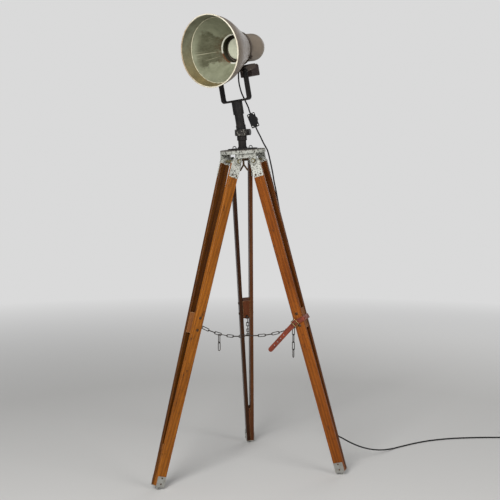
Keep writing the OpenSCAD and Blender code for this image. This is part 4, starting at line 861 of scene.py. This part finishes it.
def strap_tail():
    """The tail's flat quads laid on its own axes, with a slight curl to the tip, then given thickness."""
    *_, hinge, _, buckle, side_tail, up_tail = strap_axes()
    points, faces, base = [], [], 0
    for grid, is_ring in tail_patches():
        rows, columns = grid.shape[:2]
        quads = grid_faces(rows, columns, False, is_ring)
        points.append(grid.reshape(-1, 2))
        faces.append(quads + base)
        base += rows * columns
    flat, faces = np.vstack(points), np.vstack(faces)
    sag, ripple, ripple_turn = 1.2, 0.35, 11
    away = np.clip(flat[:, 1:], 0, None) / TAIL_LENGTH
    curl = STRAP_THICK / 2 - sag * away ** 2 + ripple * np.sin(away * ripple_turn) * away
    solid = buckle + flat[:, :1] * side_tail - flat[:, 1:] * up_tail + curl * hinge
    uv = np.stack([flat[:, 1] / 1000, flat[:, 0] / STRAP_WIDTH + 0.5], 1)
    made = piece("strap_tail_leather", place(*solid), faces, uv[faces].reshape(-1, 2))
    work = bmesh.new()
    work.from_mesh(made.data)
    bmesh.ops.remove_doubles(work, verts=work.verts, dist=1e-5)
    bmesh.ops.dissolve_degenerate(work, edges=work.edges, dist=1e-6)
    bmesh.ops.recalc_face_normals(work, faces=work.faces)
    work.to_mesh(made.data)
    work.free()
    wall = made.modifiers.new("thickness", "SOLIDIFY")
    wall.thickness, wall.offset = STRAP_THICK / 1000, 0
    rounded = made.modifiers.new("rounded_edges", "BEVEL")
    rounded.width, rounded.segments, rounded.limit_method = 0.0006, 3, "ANGLE"
    return made


def whole_strap():
    leather = strap_leather()
    band, tail = strap_band(), strap_tail()
    for made, node, body in ((band, "strap_loop", "right_leg"), (tail, "strap_tail", "strap_tail")):
        made.data.materials.append(leather)
        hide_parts(node)
        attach(made, body)


# ---------------------------------------------------------------- finishes on the solids

def on_legs(kind):
    """The names of one kind of node on all three legs."""
    return [side + "_" + kind for side in LEGS]


def dress_legs():
    # For each leg: the wood's light tone, where its grain starts, and the side whose rail is darkened with
    # painted shade
    woods = {"left": ((0.42, 0.138, 0.011), (3.1, 0.0, 0.0), -1),
             "right": ((0.38, 0.108, 0.011), (7.7, 2.0, 0.4), 1),
             "back": ((0.16, 0.058, 0.018), (1.3, 5.0, 0.9), 1)}
    for name, (light, seed, shaded_side) in woods.items():
        dress(varnished_wood("rail_wood_" + name, LEGS[name], light, (0.055, 0.014, 0.003),
                             (0.66, 0.42, 0.19), seed, shaded_side), name + "_rails")
        block = (0.17, 0.052, 0.020) if name == "back" else (0.40, 0.16, 0.045)
        dress(varnished_wood("block_wood_" + name, LEGS[name], block, (0.10, 0.028, 0.008),
                             (0.62, 0.42, 0.22), (seed[0] + 9, 1, 4)), name + "_blocks")
    dress(chipped_casting("bracket_casting", (0.60, 0.61, 0.56), (0.022, 0.020, 0.018), 0.43, 200.0),
          *on_legs("brackets"))
    dress(aged_steel("fastener_steel", (0.11, 0.062, 0.034), (0.08, 0.035, 0.014), 0.5),
          *on_legs("fasteners"))
    dress(aged_steel("shoe_zinc", (0.50, 0.50, 0.47), (0.28, 0.23, 0.17), 0.25, 0.42), *on_legs("shoe"))
    dress(aged_steel("chain_steel", (0.060, 0.052, 0.046), (0.05, 0.024, 0.012), 0.5), *on_legs("chain"),
          *on_legs("eye"), "left_chain_tail", "right_chain_tail")
    dress(aged_steel("buckle_brass", (0.36, 0.25, 0.11), (0.12, 0.07, 0.03), 0.45, 0.34), "strap_buckle")


def dress_head_and_post():
    dress(chipped_casting("head_casting_paint", (0.46, 0.47, 0.43), (0.030, 0.026, 0.022), 0.42, 120.0,
                          by_place=head_tones), "head_casting")
    dress(hinge_bars(), "hinge_bolts")
    dress(aged_steel("wing_screw_rust", (0.20, 0.14, 0.08), (0.12, 0.06, 0.03), 0.62), "wing_screw")
    dress(worn_black("stem_paint"), "top_flange", "column", "post")
    dress(worn_black("collar_paint", (0.016, 0.0155, 0.015), 0.46, (0.20, 0.19, 0.165)), "clamp_collar")
    dress(worn_black("yoke_paint", (0.009, 0.0085, 0.0085), 0.10), "yoke")
    dress(worn_black("pivot_paint", (0.010, 0.009, 0.008), 0.25), "pivot_bolts")
    dress(moulded("knob_bakelite", (0.009, 0.0085, 0.008), 0.3, specular=0.2), "clamp_knob")


def dress_lamp():
    dress(lamp_enamel("shell_enamel", (0.190, 0.152, 0.118), (0.120, 0.094, 0.072), (0.08, 0.060, 0.045),
                      0.12, 0.20, by_place=shell_outside), "reflector_shell")
    dress(lamp_enamel("housing_enamel", (0.225, 0.182, 0.138), (0.140, 0.112, 0.086), (0.08, 0.060, 0.045),
                      0.16, 0.12), "rear_housing")
    dress(lamp_enamel("band_enamel", (0.10, 0.078, 0.060), (0.045, 0.033, 0.025), (0.035, 0.026, 0.02),
                      0.34, 0.10), "collar_band")
    dress(lamp_enamel("rim_enamel", (0.76, 0.72, 0.60), (0.60, 0.52, 0.36), (0.20, 0.12, 0.05),
                      0.34, 0.10, by_place=rim_tones), "rim_bead")
    dress(lamp_enamel("liner_enamel", (0.285, 0.295, 0.205), (0.205, 0.210, 0.135), (0.42, 0.42, 0.32),
                      0.08, 0.45, 0.5, by_place=liner_stains), "reflector_liner")
    dress(neck_enamel(), "neck_ring")
    dress(lamp_enamel("bracket_enamel", (0.075, 0.055, 0.043), (0.035, 0.025, 0.02), (0.20, 0.165, 0.13),
                      0.22, 0.1), "saddle")
    # The box's pale chip tone on its worn edges is partly wear and partly painted highlights along the box's
    # edges
    dress(lamp_enamel("box_enamel", (0.040, 0.024, 0.021), (0.022, 0.014, 0.012), (0.22, 0.15, 0.11),
                      0.14, 0.1), "terminal_box", "box_cover")
    dress(moulded("holder_ceramic", (0.62, 0.60, 0.54), 0.15, 500), "lampholder")
    dress(bulb_glass(), "bulb")


def dress_mains():
    dress(moulded("gland_rubber", (0.008, 0.008, 0.008), 0.45, specular=0.3), "strain_relief", "cord_clips")
    dress(moulded("dimmer_plastic", (0.006, 0.006, 0.0062), 0.36, 700, 0.09), "dimmer_base", "dimmer_cover")
    dress(moulded("wheel_plastic", (0.02, 0.019, 0.019), 0.42, 700, 0.35), "dimmer_wheel")
    dress(moulded("plug_plastic", (0.016, 0.016, 0.017), 0.36, 700), "plug_body")
    # The screws' near-white tone with little metal is pale zinc brightened into a painted glint
    dress(aged_steel("dimmer_screw_zinc_painted_glint", (0.88, 0.88, 0.85), (0.4, 0.36, 0.3), 0.1, 0.25, 0.25),
          "dimmer_screws")
    dress(aged_steel("pin_brass", (0.62, 0.47, 0.22), (0.3, 0.2, 0.08), 0.15, 0.25), "plug_pins")


# ---------------------------------------------------------------- floor, light and camera

BACKGROUND = (0.70, 0.70, 0.70, 1.0)


def stage_floor():
    """One plain pale sheet under the feet, that fades into the background between two distances."""
    half_size, fade_from, fade_to, below_feet = 8, 1.6, 5.0, 0.0004
    reach = np.linspace(-half_size, half_size, 9)
    x, y = np.meshgrid(reach, reach, indexing="ij")
    faces = grid_faces(len(reach), len(reach), False, False)
    made = piece("floor", np.stack([x, y, x * 0], -1).reshape(-1, 3), faces, smooth=False)
    material = bpy.data.materials.new("pale_floor")
    material.use_nodes = True
    tree = material.node_tree
    shader = tree.nodes["Principled BSDF"]
    shader.inputs["Base Color"].default_value = opaque((0.62, 0.61, 0.59))
    shader.inputs["Roughness"].default_value = 0.85
    shader.inputs["Specular IOR Level"].default_value = 0.1
    far = add(tree, "VectorMath", {0: object_place(tree)}, operation="LENGTH").outputs["Value"]
    paper = add(tree, "Emission", {"Color": BACKGROUND, "Strength": 1.0}).outputs[0]
    fade = spread(tree, far, fade_from, fade_to)
    both = add(tree, "MixShader", {0: fade, 1: shader.outputs[0], 2: paper}).outputs[0]
    tree.links.new(both, tree.nodes["Material Output"].inputs["Surface"])
    made.data.materials.append(material)
    made.location.z = -below_feet


def area_light(name, spot, target, size, power):
    data = bpy.data.lights.new(name, "AREA")
    data.shape, data.size, data.energy = "DISK", size, power
    lamp = bpy.data.objects.new(name, data)
    bpy.context.scene.collection.objects.link(lamp)
    lamp.location = spot
    lamp.rotation_euler = (Vector(target) - Vector(spot)).to_track_quat("-Z", "Y").to_euler()


def studio():
    """Three soft lights, and a world that is dim as a light and plain grey to the camera."""
    middle = (0, 0, 0.9)
    area_light("key", (-1.3, -3.9, 3.0), middle, size=2.2, power=182)
    area_light("fill", (3.0, -3.0, 2.0), middle, size=2.4, power=55)
    area_light("back", (1.6, 3.2, 2.2), middle, size=2.6, power=26)
    world = bpy.data.worlds.new("studio")
    bpy.context.scene.world = world
    world.use_nodes = True
    tree = world.node_tree
    tree.nodes.clear()
    path = add(tree, "LightPath").outputs
    shown = greater(tree, path["Is Camera Ray"], path["Is Transmission Ray"])
    around = add(tree, "Background", {"Color": opaque((0.95, 0.97, 1.0)), "Strength": 0.27}).outputs[0]
    seen = add(tree, "Background", {"Color": BACKGROUND, "Strength": 1.0}).outputs[0]
    both = add(tree, "MixShader", {0: shown, 1: around, 2: seen}).outputs[0]
    add(tree, "OutputWorld", {"Surface": both})


def photo_camera():
    """The photograph's view: a 77 mm lens 1.24 m up and 4.18 m ahead of the feet, 5.2 degrees down."""
    data = bpy.data.cameras.new("photo_camera")
    data.lens, data.sensor_width = 77.04, 36
    camera = bpy.data.objects.new("photo_camera", data)
    camera.location = (-0.0064, -4.1831, 1.2383)
    camera_drop = 5.21
    camera.rotation_euler = (radians(90 - camera_drop), 0, 0)
    bpy.context.scene.collection.objects.link(camera)
    bpy.context.scene.camera = camera


photo_camera()
whole_lead()
whole_strap()
dress_legs()
dress_head_and_post()
dress_lamp()
dress_mains()
stage_floor()
studio()
bpy.context.scene.view_settings.view_transform = "Standard"
